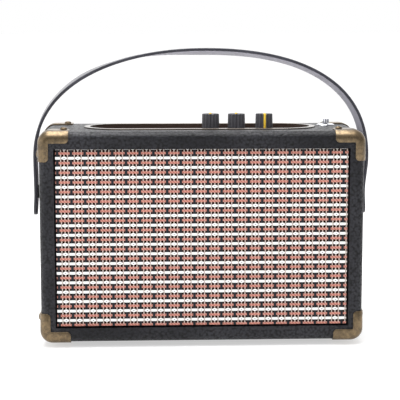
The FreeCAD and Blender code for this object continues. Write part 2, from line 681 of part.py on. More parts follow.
def make_sockets():
    half_w, half_h = SOCKET_PLATE_W / 2, SOCKET_PLATE_H / 2
    z, y = SOCKET_PLATE_Z, BACK_Y
    plate = block(-half_w, half_w, y, y + SOCKET_PLATE_T, z - half_h, z + half_h)
    plate = plate.makeFillet(SOCKET_PLATE_CORNER_R, edges_along(plate, Y_AXIS))
    plate = plate.cut([rod(SOCKET_R, 4, side * SOCKET_X, y - 1, z, Y_AXIS) for side in (-1, 1)])
    node("socket_plate", plate)
    inner_y = y + SOCKET_PLATE_T - SOCKET_DEPTH
    charging = tube(SOCKET_R, CHARGING_BORE_R, SOCKET_DEPTH, SOCKET_X, inner_y, z, Y_AXIS)
    floor = rod(SOCKET_R, SOCKET_FLOOR_T, SOCKET_X, inner_y - SOCKET_FLOOR_T, z, Y_AXIS)
    pin = rod(CHARGING_PIN_R, SOCKET_DEPTH - 2, SOCKET_X, inner_y - 0.5, z, Y_AXIS)
    node("charging_socket", fuse(charging, floor, pin))
    audio = tube(SOCKET_R, AUDIO_BORE_R, SOCKET_DEPTH, -SOCKET_X, inner_y, z, Y_AXIS)
    audio_floor = rod(SOCKET_R, SOCKET_FLOOR_T, -SOCKET_X, inner_y - SOCKET_FLOOR_T, z, Y_AXIS)
    node("audio_socket", fuse(audio, audio_floor))


def make_amplifier():
    """The amplifier board on its posts, with its heat sink, capacitors and tuner."""
    y1 = BACK_INNER_Y - STANDOFF_L
    y0 = y1 - BOARD_T
    x0, x1 = BOARD_X
    z0, z1 = BOARD_Z
    node("amplifier_board", block(x0, x1, y0, y1, z0, z1))
    posts = []
    for x in (x0 + STANDOFF_INSET, x1 - STANDOFF_INSET):
        for z in (z0 + STANDOFF_INSET, z1 - STANDOFF_INSET):
            posts.append(rod(STANDOFF_R, STANDOFF_L, x, y1, z, Y_AXIS))
    node("board_standoffs", *posts)
    base_y = y0 - HEAT_SINK_BASE_T
    fins = []
    for fin in range(FIN_COUNT):
        z = HEAT_SINK_Z[0] + FIN_PITCH * fin
        fins.append(block(*HEAT_SINK_X, base_y - FIN_D, base_y, z, z + FIN_T))
    node("heat_sink", fuse(block(*HEAT_SINK_X, base_y, y0, *HEAT_SINK_Z), *fins))
    cans = []
    for step in range(2):
        x = CAPACITOR_X + CAPACITOR_PITCH * step
        cans.append(rod(CAPACITOR_R, CAPACITOR_L, x, y0 - CAPACITOR_L, CAPACITOR_Z, Y_AXIS))
    node("smoothing_capacitors", *cans)
    node("tuner_module", block(*TUNER_X, y0 - TUNER_T, y0, *TUNER_Z))


def make_batteries():
    """Two cells side by side in a holder on the cabinet's floor."""
    floor = CAVITY_LOW
    holder = block(-HOLDER_HALF_L, HOLDER_HALF_L, *HOLDER_Y, floor, floor + HOLDER_H)
    bays, cells = [], []
    for bay in range(2):
        y = BAY_Y + BAY_PITCH * bay
        bays.append(block(-BAY_HALF_L, BAY_HALF_L, y, y + BAY_W, floor + BAY_FLOOR_T, floor + HOLDER_H + 1))
        cell_z = floor + BAY_FLOOR_T + CELL_R + RUNNING_GAP
        cells.append(rod(CELL_R, CELL_L, -CELL_L / 2, y + BAY_W / 2, cell_z, X_AXIS))
    node("battery_holder", holder.cut(bays))
    node("battery_cells", *cells)


def make_feet():
    feet, screws = [], []
    for x in (-FOOT_X, FOOT_X):
        for y in (-FOOT_Y, FOOT_Y):
            outline = [(0, 0), (FOOT_R - FOOT_CHAMFER, 0), (FOOT_R, FOOT_CHAMFER)]
            outline += [(FOOT_R, FOOT_H), (0, FOOT_H)]
            foot = turned(outline, x, y, 0, Z_AXIS)
            shank = rod(SCREW_R, SCREW_L, x, y, FOOT_H / 2)
            head = rod(SCREW_HEAD_R, FOOT_SCREW_HEAD_T, x, y, FOOT_H / 2 - FOOT_SCREW_HEAD_T)
            feet.append(foot.cut([shank, rod(SCREW_HEAD_R, FOOT_H / 2 + 1, x, y, -1)]))
            screws.append(fuse(head, shank))
    node("rubber_feet", *feet)
    node("foot_screws", *screws)


def main():
    make_cabinet()
    make_baffle_and_grille()
    make_speakers()
    make_control_recess()
    make_controls()
    make_antenna()
    make_corner_protectors()
    make_strap()
    make_back()
    make_sockets()
    make_amplifier()
    make_batteries()
    make_feet()
    os.makedirs("parts", exist_ok=True)
    for name, shape in EXPORTS.items():
        shape.exportStep(f"parts/{name}.step")
        state = "" if shape.isValid() else "  NOT VALID"
        print(f"{name}: {len(shape.Solids)} solids, {shape.Volume:.1f} mm3{state}")


main()
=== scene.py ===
"""Leather portable radio: the visible pieces and finishes, laid out as an add-on and run as a script."""

import json
import math

import bmesh
import bpy
from bpy.props import FloatProperty, FloatVectorProperty, IntProperty, PointerProperty
from mathutils import Matrix, Vector
from mathutils.geometry import interpolate_bezier


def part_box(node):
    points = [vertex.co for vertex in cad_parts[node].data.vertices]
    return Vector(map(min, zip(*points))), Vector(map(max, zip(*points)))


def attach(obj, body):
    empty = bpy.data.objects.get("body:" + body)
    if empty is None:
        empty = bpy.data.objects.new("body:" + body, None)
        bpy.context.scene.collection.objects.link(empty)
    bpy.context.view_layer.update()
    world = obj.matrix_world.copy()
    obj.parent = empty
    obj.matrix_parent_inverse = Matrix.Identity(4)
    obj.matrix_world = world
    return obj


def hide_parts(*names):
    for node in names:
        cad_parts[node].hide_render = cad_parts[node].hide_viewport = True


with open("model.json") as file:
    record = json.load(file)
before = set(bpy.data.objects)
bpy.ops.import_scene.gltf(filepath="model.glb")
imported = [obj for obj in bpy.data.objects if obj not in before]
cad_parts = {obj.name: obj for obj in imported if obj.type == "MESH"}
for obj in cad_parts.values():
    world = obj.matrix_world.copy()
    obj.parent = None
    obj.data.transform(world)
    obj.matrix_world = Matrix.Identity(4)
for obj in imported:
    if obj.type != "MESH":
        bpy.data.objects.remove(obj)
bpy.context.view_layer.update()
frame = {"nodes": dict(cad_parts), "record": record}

bl_info = {
    "name": "Leather portable radio",
    "version": (1, 0, 0),
    "blender": (4, 5, 0),
    "location": "3D View > Sidebar > Radio",
    "description": "Builds the visible pieces of a leather-covered portable radio round its frame",
    "category": "Object",
}

MM = 0.001
SHARP_ANGLE = math.radians(38)
BLACK = (0, 0, 0)
SCREW_HEAD_R = 2.6 * MM
SCREW_HEAD_H = 1.7 * MM


# ---------------------------------------------------------------- places taken from the frame


def low(node):
    return Vector(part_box(node)[0])


def high(node):
    return Vector(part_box(node)[1])


def middle(node):
    return (low(node) + high(node)) / 2


def span(node):
    return high(node) - low(node)


def loose_solids(node):
    """(lowest, highest) corner of each separate solid in a node that holds several like pieces."""
    bm = bmesh.new()
    bm.from_mesh(frame["nodes"][node].data)
    bmesh.ops.remove_doubles(bm, verts=bm.verts, dist=0.001 * MM)
    seen = set()
    boxes = []
    for seed in bm.verts:
        if seed in seen:
            continue
        seen.add(seed)
        island = [seed]
        for vert in island:
            for edge in vert.link_edges:
                other = edge.other_vert(vert)
                if other not in seen:
                    seen.add(other)
                    island.append(other)
        corners = [[v.co[axis] for v in island] for axis in range(3)]
        boxes.append((Vector([min(c) for c in corners]), Vector([max(c) for c in corners])))
    bm.free()
    return boxes


def srgb(red, green, blue):
    """A colour given in 0 to 255 display values, as the linear values that a shader takes."""
    parts = [value / 255 for value in (red, green, blue)]
    return tuple(p / 12.92 if p <= 0.04045 else ((p + 0.055) / 1.055) ** 2.4 for p in parts)


def opaque(colour):
    return (*colour, 1.0)


def blended(colour, other, share):
    """Share of other mixed into colour."""
    return tuple(a + (b - a) * share for a, b in zip(colour, other))


# ---------------------------------------------------------------- settings


def length(name, description, default):
    """A length whose default is given in millimetres."""
    metres = default * MM
    return FloatProperty(name=name, description=description, default=metres, unit="LENGTH", precision=5)


def colour(name, description, default):
    return FloatVectorProperty(
        name=name, description=description, default=default, subtype="COLOR", min=0, max=1
    )


class RadioStage(bpy.types.PropertyGroup):
    floor_size: length("Floor size", "Side of the square floor", 60000.0)
    floor_colour: colour("Floor", "Colour of the floor", (0.54, 0.54, 0.54))
    floor_glow: FloatProperty(name="Floor glow", description="Light that the floor gives off", default=1.0)
    sky_strength: FloatProperty(name="Sky", description="Brightness overhead", default=0.8)
    back_strength: FloatProperty(name="Back", description="Brightness behind and left", default=1.9)
    front_strength: FloatProperty(name="Front", description="Brightness in front and right", default=0.14)
    top_light: FloatProperty(name="Top light", description="Power of the top soft box", default=20.0)
    left_light: FloatProperty(name="Left light", description="Power of the left soft box", default=1.5)
    camera_place: FloatVectorProperty(
        name="Camera place", description="Where the camera stands", subtype="XYZ", unit="LENGTH",
        default=(-44.60 * MM, -993.24 * MM, 239.37 * MM),
    )
    camera_turn: FloatVectorProperty(
        name="Camera turn", description="Pitch, roll and yaw", subtype="EULER", unit="ROTATION",
        default=(math.pi / 2 - 0.134596, 0.0, -0.044891),
    )
    camera_lens: FloatProperty(name="Lens", description="Focal length in millimetres", default=117.36)


class RadioColours(bpy.types.PropertyGroup):
    leather: colour("Leather", "Covering of the box", srgb(22, 22, 27))
    strap: colour("Strap", "Outside of the carrying strap", srgb(46, 46, 54))
    strap_lining: colour("Strap lining", "Inner face of the carrying strap", srgb(176, 175, 190))
    brass: colour("Brass", "Worn, bright parts of the brass", srgb(132, 114, 88))
    brass_patina: colour("Brass patina", "Aged parts of the brass", srgb(94, 82, 66))
    cream_cord: colour("Cream cord", "Cross cords of the grille cloth", srgb(252, 252, 252))
    salmon_thread: colour("Salmon thread", "Woven blocks of the grille cloth", srgb(208, 142, 128))
    black_thread: colour("Black thread", "Upright bars of the grille cloth", srgb(30, 31, 36))
    cloth_ground: colour("Cloth ground", "Open ground behind the weave", srgb(50, 26, 20))
    trim: colour("Trim", "Ring round the controls", srgb(118, 112, 106))
    panel: colour("Panel", "Plate below the knobs", srgb(96, 62, 38))
    knob: colour("Knob", "Knob plastic", srgb(76, 76, 82))
    pointer: colour("Pointer", "Pointer on the knobs", srgb(255, 212, 60))


class RadioGrille(bpy.types.PropertyGroup):
    column_pitch: length("Column pitch", "From one black bar to the next", 10.033)
    row_pitch: length("Row pitch", "From one cream cord to the next", 7.125)
    first_bar: length("First bar", "Middle of the first black bar from the middle of the cloth", -106.28)
    top_cord: length("Top cord", "Height of the first whole cream cord", 141.73)
    float_length: length("Float length", "Length of a flat cream float", 4.25)
    float_height: length("Float height", "Height of a flat cream float", 2.0)
    eye_length: length("Eye length", "Length of a cream eye", 4.45)
    eye_height: length("Eye height", "Height of a cream eye at its middle", 2.5)
    block_length: length("Block length", "Length of a salmon block", 8.15)
    block_height: length("Block height", "Height of a salmon block", 2.15)
    bar_width: length("Bar width", "Width of a black bar at its waist", 1.85)
    bar_height: length("Bar height", "Height of a black bar", 4.6)
    thread_pitch: length("Thread pitch", "From an eye's middle to the threads beside it", 2.55)
    thread_width: length("Thread width", "Width of an upright cream thread", 0.85)


class RadioKnobs(bpy.types.PropertyGroup):
    flutes: IntProperty(name="Flutes", description="Grooves round each knob", default=14, min=8, max=40)
    flute_depth: length("Flute depth", "Depth of each groove", 1.0)


class RadioStrap(bpy.types.PropertyGroup):
    thickness: length("Thickness", "Thickness of the strap leather", 2.3)
    crown_offset: length("Crown offset", "How far the top of the arch stands off the middle", 4.0)
    crown_drop: length("Crown drop", "How far the arch stops below the top of its frame", 0.85)
    left_belly: length("Left belly", "How far the left shoulder stands out", 0.3)
    right_belly: length("Right belly", "How far the right shoulder stands out", 2.2)
    tail_flare: length("Tail flare", "How far the tails stand out below the studs", 0.7)
    roll: FloatProperty(
        name="Roll", description="How far the strap rolls about its own line",
        default=math.radians(11), unit="ROTATION",
    )


SETTINGS = {
    "radio_stage": RadioStage,
    "radio_colours": RadioColours,
    "radio_grille": RadioGrille,
    "radio_knobs": RadioKnobs,
    "radio_strap": RadioStrap,
}


# ---------------------------------------------------------------- shader maths


class Wire:
    """A shader socket that can be used in an expression. Each operator adds its Math node."""

    def __init__(self, finish, socket):
        self.finish = finish
        self.socket = socket

    def math(self, operation, *operands):
        inputs = dict(enumerate(operands))
        return self.finish.node("ShaderNodeMath", {"operation": operation}, inputs)

    def __add__(self, other):
        return self.math("ADD", self, other)

    def __rsub__(self, other):
        return self.math("SUBTRACT", other, self)

    def __mul__(self, other):
        return self.math("MULTIPLY", self, other)

    __radd__ = __add__
    __rmul__ = __mul__


class Finish:
    """A material being made: one Principled shader and the nodes that feed it."""

    def __init__(self, name, **constants):
        self.material = bpy.data.materials.new(name)
        self.material.use_nodes = True
        self.tree = self.material.node_tree
        self.tree.nodes.clear()
        output = self.tree.nodes.new("ShaderNodeOutputMaterial")
        self.shader = self.tree.nodes.new("ShaderNodeBsdfPrincipled")
        self.tree.links.new(self.shader.outputs[0], output.inputs[0])
        for socket, value in constants.items():
            self.feed(socket.replace("_", " "), value)

    def feed(self, name, value, node=None):
        """Sets or links a socket of node, or of the shader."""
        socket = (node or self.shader).inputs[name]
        if isinstance(value, Wire):
            self.tree.links.new(value.socket, socket)
        else:
            socket.default_value = value

    def node(self, kind, settings=None, inputs=None, output=0):
        made = self.tree.nodes.new(kind)
        for key, value in (settings or {}).items():
            if key == "stops":
                ramp = made.color_ramp.elements
                while len(ramp) < len(value):
                    ramp.new(0.5)
                for stop, (position, shade) in zip(ramp, value):
                    stop.position = position
                    stop.color = opaque(shade)
            else:
                setattr(made, key, value)
        for key, value in (inputs or {}).items():
            self.feed(key, value, made)
        return Wire(self, made.outputs[output])

    def place(self, stretch=(1, 1, 1)):
        """The point on the piece in metres, stretched along each axis."""
        here = self.node("ShaderNodeTexCoord", output="Object")
        if stretch == (1, 1, 1):
            return here
        return self.node("ShaderNodeMapping", None, {"Vector": here, "Scale": stretch})

    def clouds(self, size, detail=3.0, roughness=0.5, stretch=(1, 1, 1), warp=0.0):
        """Smooth noise from 0 to 1 whose features are about size millimetres across."""
        inputs = {
            "Vector": self.place(stretch), "Scale": 1 / (size * MM), "Detail": detail,
            "Roughness": roughness, "Distortion": warp,
        }
        return self.node("ShaderNodeTexNoise", None, inputs)

    def cells(self, size, feature="F1"):
        """Distance within pebbles about size millimetres across."""
        inputs = {"Vector": self.place(), "Scale": 1 / (size * MM)}
        return self.node("ShaderNodeTexVoronoi", {"feature": feature}, inputs)

    def between(self, value, start, end):
        """Value eased from 0 at start to 1 at end, and held beyond them."""
        inputs = {0: value, 1: start, 2: end}
        return self.node("ShaderNodeMapRange", {"interpolation_type": "SMOOTHSTEP"}, inputs)

    def mix(self, share, first, second):
        sides = [side if isinstance(side, Wire) else opaque(side) for side in (first, second)]
        inputs = {0: share, 6: sides[0], 7: sides[1]}
        return self.node("ShaderNodeMix", {"data_type": "RGBA"}, inputs, 2)

    def surface(self, colour, roughness, height, depth, strength):
        """Feeds the colour, the roughness and a bump that is depth millimetres deep."""
        self.feed("Base Color", colour)
        self.feed("Roughness", roughness)
        inputs = {"Height": height, "Distance": depth * MM, "Strength": strength}
        self.feed("Normal", self.node("ShaderNodeBump", None, inputs))
        return self


# ---------------------------------------------------------------- finishes


def leathercloth(shades):
    finish = Finish("pebbled_leathercloth", Specular_IOR_Level=0.26)
    pebbles = finish.cells(1.7, "SMOOTH_F1")
    creases = finish.cells(2.6, "DISTANCE_TO_EDGE")
    fine = finish.clouds(0.35, 2)
    patches = finish.clouds(60, 3, 0.5)
    valleys = finish.between(pebbles, 0.25, 0.75)
    worn = finish.between(patches, 0.3, 0.75)
    base = finish.mix(worn, shades.leather, blended(shades.leather, (0.2, 0.2, 0.23), 0.12))
    colour = finish.mix(valleys * 0.9, base, blended(shades.leather, BLACK, 0.9))
    height = 1 - pebbles + finish.between(creases, 0.0, 0.12) * 0.5 + fine * 0.25
    return finish.surface(colour, 0.33 + valleys * 0.2 + worn * 0.05, height, 0.3, 0.7)


def strap_leather(shades):
    finish = Finish("strap_leather", Specular_IOR_Level=0.4)
    grain = finish.cells(0.8, "SMOOTH_F1")
    wrinkles = finish.clouds(3, 4, 0.6, (1, 0.4, 1))
    worn = finish.between(finish.clouds(22, 3), 0.35, 0.75)
    colour = finish.mix(worn * 0.35, shades.strap, blended(shades.strap, (0.2, 0.2, 0.25), 0.3))
    return finish.surface(colour, 0.27 + grain * 0.1 + worn * 0.06, 1 - grain + wrinkles, 0.08, 0.35)


def strap_lining(shades):
    finish = Finish("strap_lining", Specular_IOR_Level=0.25, Sheen_Weight=0.25)
    nap = finish.clouds(0.5, 4, 0.7)
    share = finish.between(nap * 0.6 + finish.clouds(14, 3) * 0.4, 0.3, 0.7)
    colour = finish.mix(share, blended(shades.strap_lining, (0.1, 0.1, 0.12), 0.35), shades.strap_lining)
    return finish.surface(colour, 0.75 + nap * 0.15, nap, 0.08, 0.6)


def antique_brass(shades):
    finish = Finish("antique_brass")
    stains = finish.clouds(3.2, 6, 0.68, warp=0.3)
    speckle = finish.clouds(0.7, 3, 0.6)
    pits = finish.between(finish.cells(1.3), 0.0, 0.2)
    aged = finish.between(stains * 0.7 + speckle * 0.3, 0.38, 0.62)
    metal = finish.mix(aged, shades.brass_patina, shades.brass)
    dark = blended(shades.brass_patina, BLACK, 0.55)
    colour = finish.mix(finish.between(speckle, 0.58, 0.72), metal, dark)
    roughness = 0.34 - aged * 0.1 + speckle * 0.08
    finish.feed("Metallic", 0.86 + aged * 0.14)
    return finish.surface(colour, roughness, speckle * 0.7 + pits * 0.3, 0.025, 0.35)


def cream_cord(shades):
    finish = Finish("cream_cord", Specular_IOR_Level=0.45, Sheen_Weight=0.1)
    strands = finish.clouds(0.35, 2, stretch=(0.25, 1, 1))
    soil = finish.between(finish.clouds(9, 4), 0.4, 0.8)
    shade = finish.mix(soil * 0.3, shades.cream_cord, srgb(232, 230, 224))
    colour = finish.mix(finish.between(strands, 0.55, 0.75) * 0.2, shade, srgb(206, 202, 198))
    return finish.surface(colour, 0.5 + strands * 0.15, strands, 0.06, 0.5)


def thread(name, dark, light):
    """Twisted thread that runs from dark to light."""
    finish = Finish(name, Specular_IOR_Level=0.3)
    twist = finish.clouds(0.4, 2)
    colour = finish.mix(finish.between(twist, 0.3, 0.7), dark, light)
    return finish.surface(colour, 0.7 + twist * 0.1, twist, 0.05, 0.5)


def salmon_thread(shades):
    finish = Finish("salmon_thread", Specular_IOR_Level=0.3, Sheen_Weight=0.15)
    inputs = {"Vector": finish.place(), "Scale": 1 / (3.6 * MM), "Distortion": 1.2, "Detail": 2.0}
    inputs["Detail Scale"] = 3.0
    twill = finish.node("ShaderNodeTexWave", {"bands_direction": "DIAGONAL"}, inputs, 1)
    mottle = finish.clouds(0.9, 3, 0.6)
    deep = blended(shades.salmon_thread, srgb(140, 66, 52), 0.7)
    weave = finish.mix(finish.between(twill * 0.55 + mottle * 0.45, 0.3, 0.62), deep, shades.salmon_thread)
    colour = finish.mix(finish.clouds(30, 2) * 0.25, weave, srgb(240, 178, 160))
    return finish.surface(colour, 0.72 + mottle * 0.1, twill + mottle, 0.12, 0.7)


def black_thread(shades):
    finish = Finish("black_thread", Specular_IOR_Level=0.3)
    ply = finish.clouds(0.4, 3, stretch=(1, 1, 0.4))
    teal = blended(shades.black_thread, srgb(50, 58, 66), 0.6)
    colour = finish.mix(finish.between(ply, 0.4, 0.7), shades.black_thread, teal)
    return finish.surface(colour, 0.62 + ply * 0.2, ply, 0.08, 0.6)


def cloth_ground(shades):
    finish = Finish("cloth_ground", Specular_IOR_Level=0.15)
    ply = finish.clouds(0.45, 3, 0.6)
    colour = finish.mix(ply, blended(shades.cloth_ground, BLACK, 0.6), shades.cloth_ground)
    return finish.surface(colour, 0.85 + ply * 0.1, ply, 0.08, 0.6)


def brushed(name, shade, stretch, roughness, metallic=1.0, tint=0.25, grain=0.25):
    """Metal with fine lines along the axis whose stretch is smallest."""
    finish = Finish(name, Metallic=metallic)
    lines = finish.clouds(grain, 3, 0.6, stretch)
    patches = finish.clouds(16, 3)
    share = finish.between(lines * 0.6 + patches * 0.4, 0.35, 0.65)
    colour = finish.mix(share, blended(shade, BLACK, tint), shade)
    return finish.surface(colour, roughness + lines * 0.12 + patches * 0.05, lines, 0.02, 0.35)


def trim_metal(shades):
    """Satin metal with painted shade dark up its lower side: a dark band that stands in for the shadow
    under the ring's edge.
    """
    finish = Finish("trim_metal", Metallic=1.0)
    foot = low("control_trim_ring").z
    height = finish.node("ShaderNodeSeparateXYZ", None, {"Vector": finish.place()}, 2)
    # The mask is 1 on the upper metal and 0 on the lower side, where the shade under the ring's edge is
    # painted dark.
    lit_band = finish.between(height, foot + 0.66 * MM, foot + 0.78 * MM)
    lines = finish.clouds(0.25, 3, 0.6, (0.1, 1, 1))
    metal = finish.mix(lines * 0.3, shades.trim, blended(shades.trim, BLACK, 0.4))
    # Painted shade: dark brown on the lower side of the ring, for the shadow gap beneath it.
    colour = finish.mix(lit_band, srgb(44, 36, 28), metal)
    return finish.surface(colour, 0.2 + lines * 0.12 + (1 - lit_band) * 0.3, lines, 0.02, 0.3)


def chrome(shades):
    finish = Finish("chrome", Metallic=1.0)
    haze = finish.clouds(2.5, 4, 0.6)
    colour = finish.mix(haze, srgb(206, 208, 214), srgb(232, 233, 238))
    return finish.surface(colour, 0.04 + finish.between(haze, 0.45, 0.75) * 0.06, haze, 0.004, 0.2)


def moulded(name, shade, roughness=0.42, texture=0.35, depth=0.03, spread=0.2):
    """Plastic, rubber or card with a fine spark texture and slight shade changes."""
    finish = Finish(name, Specular_IOR_Level=0.42)
    spark = finish.clouds(texture, 3, 0.6)
    patches = finish.clouds(12, 3)
    lighter = blended(shade, (0.5, 0.5, 0.5), spread * 0.3)
    colour = finish.mix(patches * 0.5 + spark * 0.5, blended(shade, BLACK, spread), lighter)
    return finish.surface(colour, roughness + spark * 0.14 + patches * 0.06, spark, depth, 0.5)


def wood(shades):
    finish = Finish("birch_board", Specular_IOR_Level=0.35)
    rings = finish.clouds(2.2, 5, 0.6, (0.08, 1, 1), 0.4)
    pores = finish.clouds(0.4, 2, 0.5, (0.05, 1, 1))
    colour = finish.mix(finish.between(rings, 0.3, 0.7), srgb(176, 138, 92), srgb(214, 182, 134))
    return finish.surface(colour, 0.55 + pores * 0.2, rings * 0.5 + pores * 0.5, 0.08, 0.5)


def rear_board(shades):
    finish = Finish("textured_fibreboard", Specular_IOR_Level=0.35)
    pebbles = finish.cells(1.6, "SMOOTH_F1")
    fibres = finish.clouds(0.5, 4, 0.65)
    patches = finish.between(finish.clouds(35, 3), 0.3, 0.7)
    colour = finish.mix(patches, srgb(34, 34, 37), srgb(48, 48, 52))
    return finish.surface(colour, 0.58 + fibres * 0.2, pebbles * 0.7 + fibres * 0.3, 0.14, 0.6)


def circuit_board(shades):
    finish = Finish("circuit_board", Specular_IOR_Level=0.5)
    inputs = {"Vector": finish.place(), "Scale": 1 / (5 * MM), "Mortar Size": 0.06}
    tracks = finish.node("ShaderNodeTexBrick", {"offset": 0.5}, inputs, 1)
    patches = finish.clouds(9, 3)
    mask = finish.mix(patches, srgb(18, 74, 44), srgb(30, 100, 58))
    colour = finish.mix(tracks, mask, srgb(92, 150, 92))
    return finish.surface(colour, 0.35 + patches * 0.12, tracks, 0.04, 0.4)


FINISHES = {
    "leather": leathercloth,
    "strap_leather": strap_leather,
    "strap_lining": strap_lining,
    "antique_brass": antique_brass,
    "grille_cloth": cloth_ground,
    "cream_cord": cream_cord,
    "salmon_thread": salmon_thread,
    "black_thread": black_thread,
    "grey_thread": lambda shades: thread("grey_thread", srgb(160, 150, 144), srgb(206, 198, 192)),
    "pale_thread": lambda shades: thread("pale_thread", srgb(178, 166, 158), srgb(220, 208, 198)),
    # Painted shade: the dark grey of each cream eye's sunken middle.
    "pupil_painted_shade": lambda shades: thread("pupil_painted_shade", srgb(74, 72, 70), srgb(104, 102, 100)),
    "trim_metal": trim_metal,
    "panel_metal": lambda shades: brushed("panel_metal", shades.panel, (0.06, 1, 1), 0.38, 0.85, 0.5, 0.6),
    "aluminium": lambda shades: brushed("aluminium", srgb(190, 193, 198), (1, 1, 0.1), 0.34),
    "steel": lambda shades: brushed("zinc_steel", srgb(150, 152, 156), (1, 1, 1), 0.3, 1, 0.35, 1.2),
    "chrome": chrome,
    "knob_black": lambda shades: moulded("knob_plastic", shades.knob, 0.24, 0.3, 0.01, 0.15),
    "pointer_yellow": lambda shades: moulded("pointer_plastic", shades.pointer, 0.4, 0.4, 0.02, 0.12),
    "magnet": lambda shades: moulded("ferrite", srgb(62, 62, 66), 0.55, 0.5, 0.05),
    "speaker_paper": lambda shades: moulded("cone_paper", srgb(40, 40, 40), 0.8, 0.6, 0.1, 0.35),
    "rubber": lambda shades: moulded("rubber", srgb(34, 34, 35), 0.7, 0.5, 0.04),
    "black_plastic": lambda shades: moulded("black_plastic", srgb(36, 36, 39)),
    "tray_plastic": lambda shades: moulded("tray_plastic", srgb(66, 42, 28), 0.32, 1.6, 0.05, 0.4),
    "battery_wrap": lambda shades: moulded("battery_wrap", srgb(44, 84, 140), 0.28, 6, 0.02, 0.15),
    "wood": wood,
    "rear_board": rear_board,
    "circuit_board": circuit_board,
}
made_finishes = {}


def finish_for(name):
    if name not in made_finishes:
        made_finishes[name] = FINISHES[name](bpy.context.scene.radio_colours).material
    return made_finishes[name]


def dress_frame_nodes():
    """Gives every node of the frame the finish of its slot in the record."""
    for part in frame["record"]["subparts"]:
        node = frame["nodes"][part["node"]]
        material = finish_for(part["material_slot"])
        if not node.material_slots:
            node.data.materials.append(material)
        for place in node.material_slots:
            place.material = material


# ---------------------------------------------------------------- mesh helpers


def verts_of(geometry):
    return [item for item in geometry if isinstance(item, bmesh.types.BMVert)]


def edges_of(geometry):
    return [item for item in geometry if isinstance(item, bmesh.types.BMEdge)]


def faces_of(geometry):
    return [item for item in geometry if isinstance(item, bmesh.types.BMFace)]


def move(bm, step, verts=None):
    bmesh.ops.translate(bm, vec=step, verts=bm.verts if verts is None else verts)


def resize(bm, scale, verts=None):
    bmesh.ops.scale(bm, vec=scale, verts=bm.verts if verts is None else verts)


def turn(bm, angle, axis, verts=None):
    matrix = Matrix.Rotation(angle, 3, axis)
    bmesh.ops.rotate(bm, cent=(0, 0, 0), matrix=matrix, verts=bm.verts if verts is None else verts)


def upright_grid(columns, rows, half_width, half_height, place):
    """A new bmesh holding a flat grid that faces the front."""
    bm = bmesh.new()
    bmesh.ops.create_grid(bm, x_segments=columns, y_segments=rows, size=1)
    resize(bm, (half_width, half_height, 1))
    turn(bm, math.pi / 2, "X")
    move(bm, place)
    return bm


def extruded(bm, faces):
    """Extrudes the faces, and gives what was made."""
    return bmesh.ops.extrude_face_region(bm, geom=faces)["geom"]


def edges_along(bm, axis):
    """The edges that lie along an axis."""
    return [e for e in bm.edges if abs((e.verts[0].co - e.verts[1].co).normalized()[axis]) > 0.9]


def close(bm):
    """Fills every hole."""
    bmesh.ops.holes_fill(bm, edges=[edge for edge in bm.edges if edge.is_boundary], sides=0)


def box_mesh(size, centre=(0, 0, 0)):
    """A new bmesh holding one box."""
    bm = bmesh.new()
    bmesh.ops.create_cube(bm, size=1)
    resize(bm, size)
    move(bm, centre)
    return bm


def bevel(bm, edges, offset, segments=2):
    bmesh.ops.bevel(
        bm, geom=list(edges), offset=offset, offset_type="OFFSET", segments=segments,
        profile=0.5, affect="EDGES", material=-1, clamp_overlap=True,
    )


def sharp_edges(bm, angle=SHARP_ANGLE):
    return [edge for edge in bm.edges if edge.is_manifold and edge.calc_face_angle(0) > angle]


def spun(profile, segments=48):
    """A new bmesh of a profile of (radius, height) points, from the axis to the axis, turned about Z."""
    bm = bmesh.new()
    verts = [bm.verts.new((radius, 0, height)) for radius, height in profile]
    edges = [bm.edges.new(pair) for pair in zip(verts, verts[1:])]
    bmesh.ops.spin(
        bm, geom=verts + edges, cent=(0, 0, 0), axis=(0, 0, 1), angle=2 * math.pi,
        steps=segments, use_merge=True, use_duplicate=False,
    )
    bmesh.ops.remove_doubles(bm, verts=bm.verts, dist=0.001 * MM)
    return bm


def repeat(bm, step, count):
    """Repeats all that bm holds at equal steps."""
    first = bm.verts[:] + bm.edges[:] + bm.faces[:]
    for index in range(1, count):
        made = bmesh.ops.duplicate(bm, geom=first)["geom"]
        move(bm, Vector(step) * index, verts_of(made))


def add_copy(bm, mesh, matrix):
    """Adds a copy of mesh to bm, placed by matrix."""
    before = len(bm.verts)
    bm.from_mesh(mesh)
    bm.verts.ensure_lookup_table()
    bmesh.ops.transform(bm, matrix=matrix, verts=bm.verts[before:])


def as_mesh(bm, name="master", recalc=True):
    if recalc:
        bmesh.ops.recalc_face_normals(bm, faces=bm.faces)
    mesh = bpy.data.meshes.new(name)
    bm.to_mesh(mesh)
    bm.free()
    return mesh


def linked(name, data):
    """A new object in the scene."""
    made = bpy.data.objects.new(name, data)
    bpy.context.scene.collection.objects.link(made)
    return made


def piece(name, bm, body, slot, finishes=None, replaces=(), recalc=True):
    """Makes bm an object of the radio: it rides on body, and stands for the nodes that it replaces."""
    mesh = as_mesh(bm, name, recalc)
    for finish in finishes or [slot]:
        mesh.materials.append(finish_for(finish))
    mesh.shade_smooth()
    mesh.set_sharp_from_angle(angle=SHARP_ANGLE)
    made = linked(name, mesh)
    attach(made, body)
    if replaces:
        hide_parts(*replaces)
    return made


def cut_to_box(bm, lowest, highest, axes=(0, 2)):
    """Cuts away what lies outside the box along the axes, and closes the cuts."""
    for axis in axes:
        for place, side in ((lowest[axis], -1), (highest[axis], 1)):
            point = Vector((0, 0, 0))
            point[axis] = place
            normal = Vector((0, 0, 0))
            normal[axis] = side
            bmesh.ops.bisect_plane(
                bm, geom=bm.verts[:] + bm.edges[:] + bm.faces[:], dist=0.0001 * MM,
                plane_co=point, plane_no=normal, clear_outer=True,
            )
    close(bm)


# ---------------------------------------------------------------- grille cloth


def cloth_limits():
    return low("grille_cloth"), high("grille_cloth")


def grille_columns(settings):
    """Number of black bars that fit on the cloth."""
    width = span("grille_cloth").x
    return int(width / settings.column_pitch) + 1


def grille_rows(settings):
    """Number of whole cream cords on the cloth."""
    return int((settings.top_cord - low("grille_cloth").z) / settings.row_pitch) + 1


